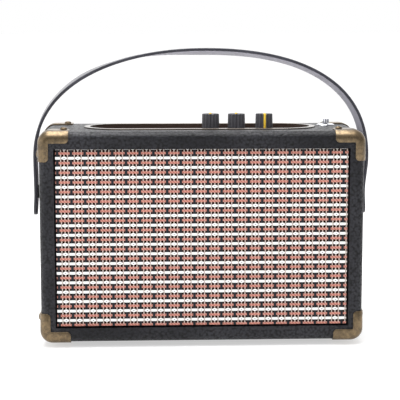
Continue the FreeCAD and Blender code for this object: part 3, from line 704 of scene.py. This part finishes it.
def cream_float(settings, layer):
    """A flat float of cream cord with rounded ends, crowned at the front."""
    depth = 0.8 * MM
    bm = box_mesh((settings.float_length, depth, settings.float_height), (0, layer - depth / 2, 0))
    bevel(bm, edges_along(bm, 1), settings.float_height * 0.27, 2)
    front = [e for e in bm.edges if all(v.co.y < layer - depth * 0.9 for v in e.verts)]
    bevel(bm, front, 0.38 * MM, 1)
    return bm


def cream_eye(settings, layer):
    """A cream eye where cords cross: a domed lozenge with a small grey pupil, painted shade in the dimple
    at its middle.
    """
    bm = bmesh.new()
    bmesh.ops.create_circle(bm, segments=12, radius=1, cap_ends=True)
    lozenge = 1.7
    for vert in bm.verts:
        angle = math.atan2(vert.co.y, vert.co.x)
        reach = (abs(math.cos(angle)) ** lozenge + abs(math.sin(angle)) ** lozenge) ** (-1 / lozenge)
        vert.co *= reach
    resize(bm, (settings.eye_length / 2, settings.eye_height / 2, 1))
    turn(bm, math.pi / 2, "X")
    move(bm, (0, layer, 0))
    cap = bm.faces[:]
    for scale, rise in ((0.96, 0.4 * MM), (0.66, 0.36 * MM), (0.42, 0.04 * MM), (0.85, -0.2 * MM)):
        made = extruded(bm, cap)
        bmesh.ops.delete(bm, geom=cap, context="FACES_ONLY")
        cap = faces_of(made)
        ring = verts_of(made)
        resize(bm, (scale, 1, scale), ring)
        move(bm, (0, -rise, 0), ring)
    # The pupil face gets the second finish: grey painted shade for the sunken middle of the eye.
    cap[0].material_index = 1
    close(bm)
    return bm


def repeat_down(bm, settings):
    """Repeats all that bm holds from the top row down, and cuts it to the cloth."""
    repeat(bm, (0, 0, -settings.row_pitch), grille_rows(settings) + 1)
    cut_to_box(bm, *cloth_limits())


def repeat_over(bm, settings, columns, left):
    """Repeats one mark of the weave all over the cloth, between the cords, from its place at the left."""
    repeat(bm, (settings.column_pitch, 0, 0), columns)
    start = (left, 0, settings.top_cord + settings.row_pitch / 2)
    move(bm, start)
    repeat_down(bm, settings)


def make_cream_cords(settings, layer):
    columns = grille_columns(settings)
    bm = bmesh.new()
    along = Vector((settings.column_pitch, 0, 0))
    top = settings.top_cord + settings.row_pitch
    for master, shift in (
        (cream_float(settings, layer), 0.0), (cream_eye(settings, layer), settings.column_pitch / 2),
    ):
        repeat(master, along, columns)
        place = Matrix.Translation((settings.first_bar + shift, 0, top))
        add_copy(bm, as_mesh(master), place)
    repeat_down(bm, settings)
    return piece("grille_cream_cords", bm, "cabinet", "grille_cloth", ["cream_cord", "pupil_painted_shade"])


def make_cord_cores(settings, layer):
    """The thin cord seen between the floats and eyes, one to each row."""
    top = settings.top_cord + settings.row_pitch
    size = (span("grille_cloth").x, 0.5 * MM, 1.6 * MM)
    bm = box_mesh(size, (middle("grille_cloth").x, layer, top))
    repeat_down(bm, settings)
    return piece("grille_cord_cores", bm, "cabinet", "grille_cloth", ["grey_thread"])


def make_salmon_blocks(settings, layer):
    """Salmon blocks between the cream cords. Their edges are scalloped where the threads pass."""
    bm = upright_grid(12, 2, settings.block_length / 2, settings.block_height / 2, (0, layer, 0))
    front = verts_of(extruded(bm, bm.faces[:]))
    move(bm, (0, -0.5 * MM, 0), front)
    resize(bm, (0.99, 1, 0.86), front)
    for vert in bm.verts:
        notch = 0.5 - 0.5 * math.cos(2 * math.pi * vert.co.x / settings.thread_pitch)
        vert.co.z *= 1 - 0.24 * notch
    for vert in front:
        twill = math.sin(2 * math.pi * (vert.co.x + vert.co.z * 1.4) / (1.39 * MM))
        vert.co.y -= 0.09 * MM * twill
    left = settings.first_bar - settings.column_pitch / 2
    repeat_over(bm, settings, grille_columns(settings) + 1, left)
    return piece("grille_salmon_blocks", bm, "cabinet", "grille_cloth", ["salmon_thread"])


def make_black_bars(settings, layer):
    """Black bars between the blocks, waisted at the middle."""
    depth = 0.62 * MM
    size = (settings.bar_width, depth, settings.bar_height)
    bm = box_mesh(size, (0, layer - depth / 2, 0))
    bmesh.ops.subdivide_edges(bm, edges=edges_along(bm, 2), cuts=4, use_grid_fill=True)
    for vert in bm.verts:
        reach = abs(vert.co.z) / (settings.bar_height / 2)
        vert.co.x *= 1 + 0.22 * max(0.0, (reach - 0.5) / 0.5)
        if vert.co.y < layer - depth / 2:
            vert.co.x *= 0.78
    repeat_over(bm, settings, grille_columns(settings), settings.first_bar)
    return piece("grille_black_bars", bm, "cabinet", "grille_cloth", ["black_thread"])


def make_upright_threads(settings, layer):
    """Thin upright threads that cross the open gaps: one at each eye and one to each side of it."""
    lowest, highest = cloth_limits()
    tall = highest.z - lowest.z
    bm = bmesh.new()
    for shift in (-settings.thread_pitch, 0.0, settings.thread_pitch):
        made = bmesh.ops.create_cone(
            bm, cap_ends=True, segments=6, radius1=settings.thread_width / 2,
            radius2=settings.thread_width / 2, depth=tall,
        )["verts"]
        resize(bm, (1, 0.7, 1), made)
        move(bm, (shift, layer, (lowest.z + highest.z) / 2), made)
    repeat(bm, (settings.column_pitch, 0, 0), grille_columns(settings) + 1)
    move(bm, (settings.first_bar - settings.column_pitch / 2, 0, 0))
    cut_to_box(bm, lowest, highest, (0,))
    return piece("grille_upright_threads", bm, "cabinet", "grille_cloth", ["pale_thread"])


def make_ground_cloth(layer):
    """The ground cloth, stretched over the grille frame."""
    lowest, highest = cloth_limits()
    size = (highest - lowest) / 2
    bm = upright_grid(48, 30, size.x, size.z, (0, layer, (lowest.z + highest.z) / 2))
    move(bm, (0, -0.2 * MM, 0), verts_of(extruded(bm, bm.faces[:])))
    return piece("grille_ground_cloth", bm, "cabinet", "grille_cloth", replaces=["grille_cloth"])


class RADIO_OT_grille(bpy.types.Operator):
    """Weave the grille cloth"""

    bl_idname = "radio.grille"
    bl_label = "Grille cloth"

    def execute(self, context):
        settings = context.scene.radio_grille
        front = low("grille_cloth").y
        ground = make_ground_cloth(front + 0.4 * MM)
        woven = [
            make_upright_threads(settings, front - 0.1 * MM),
            make_cord_cores(settings, front - 0.05 * MM),
            make_salmon_blocks(settings, front + 0.1 * MM),
            make_black_bars(settings, front + 0.15 * MM),
            make_cream_cords(settings, front + 0.1 * MM),
        ]
        return {"FINISHED"}


# ---------------------------------------------------------------- corner protectors


def softened_copy(node, radius):
    """The node's solids merged into tidy faces, with their sharp edges rounded as pressing leaves them."""
    bm = bmesh.new()
    bm.from_mesh(frame["nodes"][node].data)
    bmesh.ops.remove_doubles(bm, verts=bm.verts, dist=0.002 * MM)
    bmesh.ops.dissolve_limit(bm, angle_limit=math.radians(0.4), verts=bm.verts, edges=bm.edges)
    bevel(bm, sharp_edges(bm, math.radians(50)), radius, 2)
    return bm


class RADIO_OT_corner_protectors(bpy.types.Operator):
    """Press the brass corner protectors"""

    bl_idname = "radio.corner_protectors"
    bl_label = "Corner protectors"

    def execute(self, context):
        for side in ("front", "rear"):
            node = f"corner_protectors_{side}"
            bm = softened_copy(node, 0.22 * MM)
            piece(f"brass_corners_{side}", bm, "cabinet", "antique_brass", replaces=[node], recalc=False)
        return {"FINISHED"}


# ---------------------------------------------------------------- screws and studs


def screw_master():
    """A domed cross-head screw standing on z = 0, with its head above."""
    radius, height = SCREW_HEAD_R, SCREW_HEAD_H
    profile = [(0, -1.5 * MM), (radius * 0.55, -1.5 * MM), (radius * 0.55, 0), (radius * 0.97, 0)]
    profile += [(radius, height * 0.12), (radius, height * 0.42)]
    for step in range(1, 6):
        angle = step / 5 * math.pi / 2
        profile.append((radius * math.cos(angle), height * (0.42 + 0.58 * math.sin(angle))))
    head = linked("head", as_mesh(spun(profile, 32)))
    cutter_bm = bmesh.new()
    slot_width = radius * 0.3
    for angle in (0, math.pi / 2):
        made = bmesh.ops.create_cube(cutter_bm, size=1)["verts"]
        resize(cutter_bm, (radius * 1.15, slot_width, height), made)
        foot = [v for v in made if v.co.z < 0]
        resize(cutter_bm, (0.6, 0.6, 1), foot)
        turn(cutter_bm, angle, "Z", made)
        move(cutter_bm, (0, 0, height * 0.9 + angle * 0.001 * MM), made)
    cutter = linked("cross", as_mesh(cutter_bm))
    cut = head.modifiers.new("cross", "BOOLEAN")
    cut.operation = "DIFFERENCE"
    cut.solver = "EXACT"
    cut.use_self = True
    cut.object = cutter
    bpy.context.view_layer.update()
    evaluated = head.evaluated_get(bpy.context.evaluated_depsgraph_get())
    mesh = bpy.data.meshes.new_from_object(evaluated)
    bpy.data.objects.remove(head)
    bpy.data.objects.remove(cutter)
    return mesh


def outward_axis(lowest, highest, centre):
    """The axis along which a fastener lies, pointing away from the middle of the box."""
    size = highest - lowest
    axis = max(range(3), key=lambda index: size[index])
    direction = Vector((0, 0, 0))
    direction[axis] = 1 if (lowest + highest)[axis] / 2 > centre[axis] else -1
    return axis, direction


def make_screws(name, node, slot):
    """Cross-head screws in the places of the node's solids, each turned as its thread left it."""
    master = screw_master()
    centre = middle("cabinet_shell")
    bm = bmesh.new()
    golden_turn = 2.4
    for index, (lowest, highest) in enumerate(loose_solids(node)):
        axis, direction = outward_axis(lowest, highest, centre)
        seat = (lowest + highest) / 2
        seat[axis] = (highest if direction[axis] > 0 else lowest)[axis] - direction[axis] * SCREW_HEAD_H
        driven = Matrix.Rotation(golden_turn * index, 4, "Z")
        aim = direction.to_track_quat("Z", "Y").to_matrix().to_4x4()
        add_copy(bm, master, Matrix.Translation(seat) @ aim @ driven)
    return piece(name, bm, "cabinet", slot, replaces=[node])


def make_strap_studs():
    """Domed rivet heads over the strap, in the places of the studs."""
    bm = bmesh.new()
    for lowest, highest in loose_solids("strap_studs"):
        side = 1 if lowest.x + highest.x > 0 else -1
        radius = (highest.z - lowest.z) / 2
        strap_face = high("carrying_strap").x - 2.2 * MM
        rise = 0.9 * MM
        shank, tail, rim = radius * 0.4, -6 * MM, -0.3 * MM
        profile = [(0, tail), (shank, tail), (shank, rim), (radius * 0.96, rim), (radius, 0.15 * MM)]
        steps = ((0.94, 0.4), (0.78, 0.68), (0.66, 0.7), (0.6, 0.82), (0.3, 0.97), (0, 1))
        profile += [(radius * out, rise * up) for out, up in steps]
        aim = Vector((side, 0, 0)).to_track_quat("Z", "Y").to_matrix().to_4x4()
        seat = Vector((side * strap_face, (lowest.y + highest.y) / 2, (lowest.z + highest.z) / 2))
        add_copy(bm, as_mesh(spun(profile, 40)), Matrix.Translation(seat) @ aim)
    return piece("strap_rivets", bm, "cabinet", "antique_brass", replaces=["strap_studs"])


class RADIO_OT_fasteners(bpy.types.Operator):
    """Drive the screws and set the strap rivets"""

    bl_idname = "radio.fasteners"
    bl_label = "Screws and rivets"

    def execute(self, context):
        make_screws("corner_cross_screws", "corner_screws", "antique_brass")
        make_screws("rear_cross_screws", "rear_panel_screws", "steel")
        make_strap_studs()
        return {"FINISHED"}


# ---------------------------------------------------------------- knobs


def make_knob(settings, control):
    """A tapered, fluted knob with a rounded shoulder and a dished top."""
    node = f"{control}_knob"
    lowest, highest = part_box(node)
    centre = middle(node)
    radius = (highest[0] - lowest[0]) / 2
    tall = highest[2] - lowest[2]
    ribs = 6
    bm = bmesh.new()
    bmesh.ops.create_circle(bm, segments=settings.flutes * ribs, radius=radius * 0.97, cap_ends=True)
    rings = [
        (0.02, 1.0), (0.06, 1.0), (0.4, 0.99), (0.7, 0.972), (0.95, 0.957), (0.983, 0.95),
        (0.996, 0.938), (1.0, 0.92), (1.0, 0.78), (0.985, 0.74), (0.98, 0.1),
    ]
    cap = bm.faces[:]
    for height, reach in rings:
        made = extruded(bm, cap)
        bmesh.ops.delete(bm, geom=cap, context="FACES_ONLY")
        cap = faces_of(made)
        for vert in verts_of(made):
            outline = Vector((vert.co.x, vert.co.y, 0)).normalized()
            vert.co = outline * radius * reach
            vert.co.z = tall * height
    close(bm)
    for vert in bm.verts:
        rise = vert.co.z / tall
        out = Vector((vert.co.x, vert.co.y, 0))
        if out.length < radius * 0.8 or rise < 0.01:
            continue
        fade = min(1.0, (1.0 - rise) / 0.03 + 0.35)
        angle = math.atan2(vert.co.y, vert.co.x)
        groove = (0.5 - 0.5 * math.cos(settings.flutes * angle)) ** 1.5
        vert.co -= out.normalized() * settings.flute_depth * groove * fade
    move(bm, (centre.x, centre.y, lowest[2]))
    return piece(f"{control}_fluted_knob", bm, f"{control}_control", "knob_black", replaces=[node])


def make_pointer(control):
    """A yellow bar set along the top of the knob and down its side."""
    node = f"{control}_knob_pointer"
    knob_low, knob_high = low(f"{control}_knob"), high(f"{control}_knob")
    centre = middle(f"{control}_knob")
    lowest, highest = low(node), high(node)
    forward = -1 if lowest.y + highest.y < 2 * centre.y else 1
    width = highest.x - lowest.x
    radius = (knob_high.x - knob_low.x) / 2
    top, bottom = highest.z, knob_low.z + 0.3 * MM
    proud = 0.3 * MM
    sunk = 0.7 * MM
    outline = [
        (1.2 * MM, knob_high.z - sunk), (1.2 * MM, top), (radius * 0.9, top),
        (radius * 0.93 + proud * 0.6, knob_high.z - 0.6 * MM), (radius + proud, bottom),
        (radius - sunk, bottom), (radius * 0.93 - sunk, knob_high.z - sunk),
    ]
    bm = bmesh.new()
    verts = [bm.verts.new((-width / 2, forward * out, height)) for out, height in outline]
    side = bm.faces.new(verts)
    made = extruded(bm, [side])
    move(bm, (width, 0, 0), verts_of(made))
    bevel(bm, sharp_edges(bm, math.radians(20)), 0.16 * MM, 2)
    move(bm, (centre.x, centre.y, 0))
    name = f"{control}_pointer_bar"
    return piece(name, bm, f"{control}_control", "pointer_yellow", replaces=[node])


class RADIO_OT_knobs(bpy.types.Operator):
    """Mould the fluted knobs and their pointers"""

    bl_idname = "radio.knobs"
    bl_label = "Knobs"

    def execute(self, context):
        for control in ("volume", "tone", "tuning"):
            make_knob(context.scene.radio_knobs, control)
            make_pointer(control)
        return {"FINISHED"}


# ---------------------------------------------------------------- antenna


def make_antenna_bezel():
    """A thin turned flange with a rounded lip round the antenna's hole."""
    centre = middle("antenna_bezel")
    bottom, top = low("antenna_bezel").z, high("antenna_bezel").z
    radius = span("antenna_bezel").x / 2
    bore = 3.5 * MM
    profile = [
        (bore, bottom), (radius * 0.985, bottom), (radius, bottom + 0.15 * MM), (radius, bottom + 0.3 * MM),
        (radius * 0.95, top - 0.2 * MM), (radius * 0.86, top), (radius * 0.62, top),
        (bore + 0.35 * MM, top - 0.12 * MM), (bore, top - 0.4 * MM), (bore, bottom),
    ]
    bm = spun(profile, 64)
    move(bm, (centre.x, centre.y, 0))
    return piece("antenna_flange", bm, "cabinet", "chrome", replaces=["antenna_bezel"])


def make_antenna_tip():
    """A turned tip with grooves down its side for the fingers."""
    centre = middle("antenna_tip")
    bottom, top = low("antenna_tip").z, high("antenna_tip").z
    radius = span("antenna_tip").x / 2
    grooves = 10
    depth = 0.5 * MM
    profile = [(0, bottom), (radius * 0.9, bottom), (radius, bottom + 0.2 * MM)]
    profile += [(radius, top - 0.4 * MM), (radius * 0.93, top - 0.1 * MM), (radius * 0.72, top), (0, top)]
    bm = spun(profile, grooves * 8)
    for vert in bm.verts:
        out = Vector((vert.co.x, vert.co.y, 0))
        if out.length > radius * 0.8:
            groove = 0.5 - 0.5 * math.cos(grooves * math.atan2(vert.co.y, vert.co.x))
            vert.co -= out.normalized() * depth * groove
    move(bm, (centre.x, centre.y, 0))
    return piece("antenna_cap", bm, "antenna_top", "chrome", replaces=["antenna_tip"])


class RADIO_OT_antenna(bpy.types.Operator):
    """Turn the antenna's flange and tip"""

    bl_idname = "radio.antenna"
    bl_label = "Antenna"

    def execute(self, context):
        make_antenna_bezel()
        make_antenna_tip()
        return {"FINISHED"}


# ---------------------------------------------------------------- strap


def strap_line(settings):
    """Points along the middle of the strap, from the left tail over the crown to the right tail."""
    foot = low("carrying_strap").z
    crown = high("carrying_strap").z - settings.thickness / 2 - settings.crown_drop
    stud = middle("strap_studs").z
    clearance = 0.2 * MM
    limb = high("carrying_strap").x - settings.thickness / 2 - clearance
    shoulder = stud + 27 * MM
    top = Vector((settings.crown_offset, 0, crown))
    lean = 70 * MM
    sides = []
    for side, belly, rise in ((-1, settings.left_belly, 54 * MM), (1, settings.right_belly, 58 * MM)):
        tail = Vector((side * (limb + settings.tail_flare), 0, foot))
        hold = Vector((side * limb, 0, stud))
        bend = Vector((side * (limb + belly), 0, shoulder))
        line = []
        for start, end, leave, arrive in (
            (tail, hold, (0, 0, 6 * MM), (0, 0, -6 * MM)),
            (hold, bend, (0, 0, 9 * MM), (0, 0, -9 * MM)),
            (bend, top, (0, 0, rise), (side * lean, 0, 0)),
        ):
            line += interpolate_bezier(start, start + Vector(leave), end + Vector(arrive), end, 40)[:-1]
        sides.append(line)
    left, right = sides
    return left + [top] + right[::-1]


def smooth_table(place, stops):
    """Value at place, eased between (place, value) stops."""
    for (start, first), (end, second) in zip(stops, stops[1:]):
        if place <= end:
            share = min(1.0, max(0.0, (place - start) / (end - start)))
            share = share * share * (3 - 2 * share)
            return first + (second - first) * share
    return stops[-1][1]


def strap_stations(settings):
    """A matrix for each point of the line: X across the thickness, Y across the width, Z along it.

    The strap rolls about its front edge.
    """
    points = strap_line(settings)
    lengths = [0.0]
    for start, end in zip(points, points[1:]):
        lengths.append(lengths[-1] + (end - start).length)
    whole = lengths[-1]
    corner = 7 * MM
    half_width = span("carrying_strap").y / 2
    roll = settings.roll
    rolls = [(0, 0), (0.1, 0), (0.2, 0.45 * roll), (0.27, 0.45 * roll), (0.36, 0), (0.5, -roll)]
    rolls += [(0.7, -0.75 * roll), (0.84, -0.5 * roll), (0.92, 0), (1, 0)]
    stations = []
    for index, point in enumerate(points):
        ahead = points[min(index + 1, len(points) - 1)]
        behind = points[max(index - 1, 0)]
        along = (ahead - behind).normalized()
        out = Vector((-along.z, 0, along.x))
        rolled = Matrix.Rotation(smooth_table(lengths[index] / whole, rolls), 3, along)
        width = Vector((0, 1, 0))
        out, across = rolled @ out, rolled @ width
        from_end = min(lengths[index], whole - lengths[index])
        narrow = 1.0
        if from_end < corner:
            narrow = (half_width - corner + math.sqrt(corner**2 - (corner - from_end) ** 2)) / half_width
        matrix = Matrix((out, across * narrow, along)).transposed().to_4x4()
        matrix.translation = point + (across - width) * half_width
        stations.append(matrix)
    return stations


def make_strap(settings):
    """The strap: a rounded section carried along the line."""
    stations = strap_stations(settings)
    bm = bmesh.new()
    bmesh.ops.create_grid(bm, x_segments=1, y_segments=4, size=1)
    half = (settings.thickness / 2, span("carrying_strap").y / 2, 1)
    resize(bm, half)
    corners = [v for v in bm.verts if len(v.link_edges) == 2]
    bmesh.ops.bevel(
        bm, geom=corners, offset=0.6 * MM, segments=3, profile=0.5, affect="VERTICES", material=-1,
    )
    bmesh.ops.transform(bm, matrix=stations[0], verts=bm.verts)
    ring = [e for e in bm.edges if e.is_boundary]
    for before, after in zip(stations, stations[1:]):
        made = bmesh.ops.extrude_edge_only(bm, edges=ring)["geom"]
        verts = verts_of(made)
        bmesh.ops.transform(bm, matrix=after @ before.inverted(), verts=verts)
        new = set(verts)
        ring = [e for e in edges_of(made) if e.verts[0] in new and e.verts[1] in new]
    bmesh.ops.contextual_create(bm, geom=ring)
    bmesh.ops.recalc_face_normals(bm, faces=bm.faces)
    for face in bm.faces:
        where = face.calc_center_median()
        nearest = min(stations, key=lambda matrix: (matrix.translation - where).length_squared)
        inward = -nearest.col[0].to_3d().normalized()
        if face.normal.dot(inward) > 0.9:
            face.material_index = 1
    return piece(
        "leather_strap", bm, "strap", "strap_leather", ["strap_leather", "strap_lining"],
        replaces=["carrying_strap"],
    )


class RADIO_OT_strap(bpy.types.Operator):
    """Cut and bend the carrying strap"""

    bl_idname = "radio.strap"
    bl_label = "Carrying strap"

    def execute(self, context):
        make_strap(context.scene.radio_strap)
        return {"FINISHED"}


# ---------------------------------------------------------------- back and feet


def make_bass_port():
    """The port's flared mouth and its tube."""
    lowest, highest = low("bass_port"), high("bass_port")
    centre = middle("bass_port")
    flange = span("bass_port").x / 2
    bore = 12 * MM
    wall = 1.6 * MM
    deep = highest.y - lowest.y
    lip = 2.0 * MM
    flare = 4.5 * MM
    profile = [(bore, -deep), (bore + wall, -deep), (bore + wall, -lip), (flange, -lip)]
    profile += [(flange, -0.5 * MM), (flange - 0.5 * MM, 0), (bore + flare, 0)]
    for step in range(1, 7):
        angle = step / 6 * math.pi / 2
        profile.append((bore + flare * (1 - math.sin(angle)), -flare * (1 - math.cos(angle))))
    profile.append((bore, -deep))
    bm = spun(profile, 64)
    aim = Matrix.Rotation(-math.pi / 2, 4, "X")
    place = Matrix.Translation((centre.x, highest.y, centre.z))
    bmesh.ops.transform(bm, matrix=place @ aim, verts=bm.verts)
    return piece("bass_port_flare", bm, "cabinet", "black_plastic", replaces=["bass_port"])


def make_socket_plate():
    """The socket plate with rounded edges, worked from its solid."""
    bm = softened_copy("socket_plate", 0.35 * MM)
    name = "socket_plate_moulding"
    return piece(name, bm, "cabinet", "black_plastic", replaces=["socket_plate"], recalc=False)


class RADIO_OT_back(bpy.types.Operator):
    """Mould the bass port and the socket plate"""

    bl_idname = "radio.back"
    bl_label = "Back fittings"

    def execute(self, context):
        make_bass_port()
        make_socket_plate()
        return {"FINISHED"}


class RADIO_OT_feet(bpy.types.Operator):
    """Mould the rubber feet"""

    bl_idname = "radio.feet"
    bl_label = "Feet"

    def execute(self, context):
        bm = bmesh.new()
        for lowest, highest in loose_solids("rubber_feet"):
            radius = (highest.x - lowest.x) / 2
            tall = highest.z - lowest.z
            profile = [(2.4 * MM, 1.5 * MM), (2.4 * MM, 0.2 * MM), (2.8 * MM, 0), (radius * 0.78, 0)]
            profile += [(radius * 0.88, 0.25 * MM), (radius * 0.93, 0.8 * MM), (radius, tall * 0.85)]
            profile += [(radius, tall), (2.4 * MM, tall), (2.4 * MM, 1.5 * MM)]
            centre = (lowest + highest) / 2
            place = Matrix.Translation((centre.x, centre.y, lowest.z))
            add_copy(bm, as_mesh(spun(profile, 40)), place)
        piece("rubber_bumper_feet", bm, "cabinet", "rubber", replaces=["rubber_feet"])
        return {"FINISHED"}


# ---------------------------------------------------------------- frame finishes and stage


class RADIO_OT_finishes(bpy.types.Operator):
    """Dress the pieces of the frame in their finishes"""

    bl_idname = "radio.finishes"
    bl_label = "Frame finishes"

    def execute(self, context):
        dress_frame_nodes()
        return {"FINISHED"}


def make_floor(settings):
    bm = bmesh.new()
    bmesh.ops.create_grid(bm, x_segments=1, y_segments=1, size=settings.floor_size / 2)
    mesh = as_mesh(bm, "floor", recalc=False)
    shade = opaque(settings.floor_colour)
    finish = Finish(
        "pale_floor", Roughness=0.9, Specular_IOR_Level=0.1, Base_Color=shade, Emission_Color=shade,
        Emission_Strength=settings.floor_glow,
    )
    mesh.materials.append(finish.material)
    linked("floor", mesh)


def make_sky(settings):
    """A soft surround, brightest overhead and behind, that the camera sees as plain white."""
    world = bpy.data.worlds.new("studio")
    bpy.context.scene.world = world
    world.use_nodes = True
    tree = world.node_tree
    tree.nodes.clear()

    def add(kind, **inputs):
        made = tree.nodes.new(kind)
        for name, value in inputs.items():
            socket = made.inputs[name.replace("_", " ")]
            if isinstance(value, bpy.types.NodeSocket):
                tree.links.new(value, socket)
            else:
                socket.default_value = value
        return made

    where = add("ShaderNodeTexCoord").outputs["Generated"]
    split = add("ShaderNodeSeparateXYZ", Vector=where).outputs
    toward = add("ShaderNodeVectorMath")
    toward.operation = "DOT_PRODUCT"
    tree.links.new(where, toward.inputs[0])
    toward.inputs[1].default_value = (-0.35, 0.75, 0.0)
    level = add(
        "ShaderNodeMapRange", Value=toward.outputs["Value"], From_Min=-0.5, From_Max=0.45,
        To_Min=settings.front_strength, To_Max=settings.back_strength,
    ).outputs[0]
    height = add("ShaderNodeMapRange", Value=split["Z"], From_Min=0.0, From_Max=0.75).outputs[0]
    strength = add("ShaderNodeMix", Factor=height, A=level, B=settings.sky_strength).outputs[0]
    light = add("ShaderNodeBackground", Color=(1, 1, 1, 1), Strength=strength).outputs[0]
    seen = add("ShaderNodeBackground", Color=(1, 1, 1, 1)).outputs[0]
    camera_ray = add("ShaderNodeLightPath").outputs["Is Camera Ray"]
    mixer = tree.nodes.new("ShaderNodeMixShader")
    for socket, source in zip(mixer.inputs, (camera_ray, light, seen)):
        tree.links.new(source, socket)
    add("ShaderNodeOutputWorld", Surface=mixer.outputs[0])


def make_soft_box(name, place, target, size, power):
    light = bpy.data.lights.new(name, "AREA")
    light.shape = "RECTANGLE"
    light.size, light.size_y = size
    light.energy = power
    lamp = linked(name, light)
    lamp.location = place
    lamp.rotation_euler = (Vector(target) - Vector(place)).to_track_quat("-Z", "Y").to_euler()


def make_camera(settings):
    data = bpy.data.cameras.new("camera")
    data.lens = settings.camera_lens
    data.clip_start = 0.05
    data.clip_end = 200
    camera = linked("camera", data)
    camera.location = settings.camera_place
    camera.rotation_euler = settings.camera_turn
    bpy.context.scene.camera = camera


class RADIO_OT_stage(bpy.types.Operator):
    """Set up the floor, the lights and the camera"""

    bl_idname = "radio.stage"
    bl_label = "Stage"

    def execute(self, context):
        settings = context.scene.radio_stage
        context.scene.view_settings.view_transform = "Standard"
        make_camera(settings)
        make_floor(settings)
        make_sky(settings)
        target = middle("cabinet_shell")
        make_soft_box("top_soft_box", (-0.1, 0.0, 1.1), target, (1.4, 0.7), settings.top_light)
        make_soft_box("left_soft_box", (-1.2, -0.35, 0.35), target, (0.7, 0.7), settings.left_light)
        return {"FINISHED"}


class RADIO_PT_panel(bpy.types.Panel):
    """The radio's pieces and sizes in the sidebar"""

    bl_label = "Leather radio"
    bl_space_type = "VIEW_3D"
    bl_region_type = "UI"
    bl_category = "Radio"

    def draw(self, context):
        for operator in OPERATORS:
            self.layout.operator(operator.bl_idname)
        for name, group in SETTINGS.items():
            box = self.layout.box()
            for setting in group.__annotations__:
                box.prop(getattr(context.scene, name), setting)


OPERATORS = (
    RADIO_OT_stage, RADIO_OT_finishes, RADIO_OT_grille, RADIO_OT_corner_protectors, RADIO_OT_fasteners,
    RADIO_OT_knobs, RADIO_OT_antenna, RADIO_OT_strap, RADIO_OT_back, RADIO_OT_feet,
)


def register():
    for kind in (*SETTINGS.values(), *OPERATORS, RADIO_PT_panel):
        bpy.utils.register_class(kind)
    for name, group in SETTINGS.items():
        setattr(bpy.types.Scene, name, PointerProperty(type=group))


def unregister():
    for name in SETTINGS:
        delattr(bpy.types.Scene, name)
    for kind in (RADIO_PT_panel, *reversed(OPERATORS), *reversed(SETTINGS.values())):
        bpy.utils.unregister_class(kind)


def main():
    register()
    bpy.ops.radio.stage()
    bpy.ops.radio.finishes()
    bpy.ops.radio.grille()
    bpy.ops.radio.corner_protectors()
    bpy.ops.radio.fasteners()
    bpy.ops.radio.knobs()
    bpy.ops.radio.antenna()
    bpy.ops.radio.strap()
    bpy.ops.radio.back()
    bpy.ops.radio.feet()


if __name__ == "__main__":
    main()
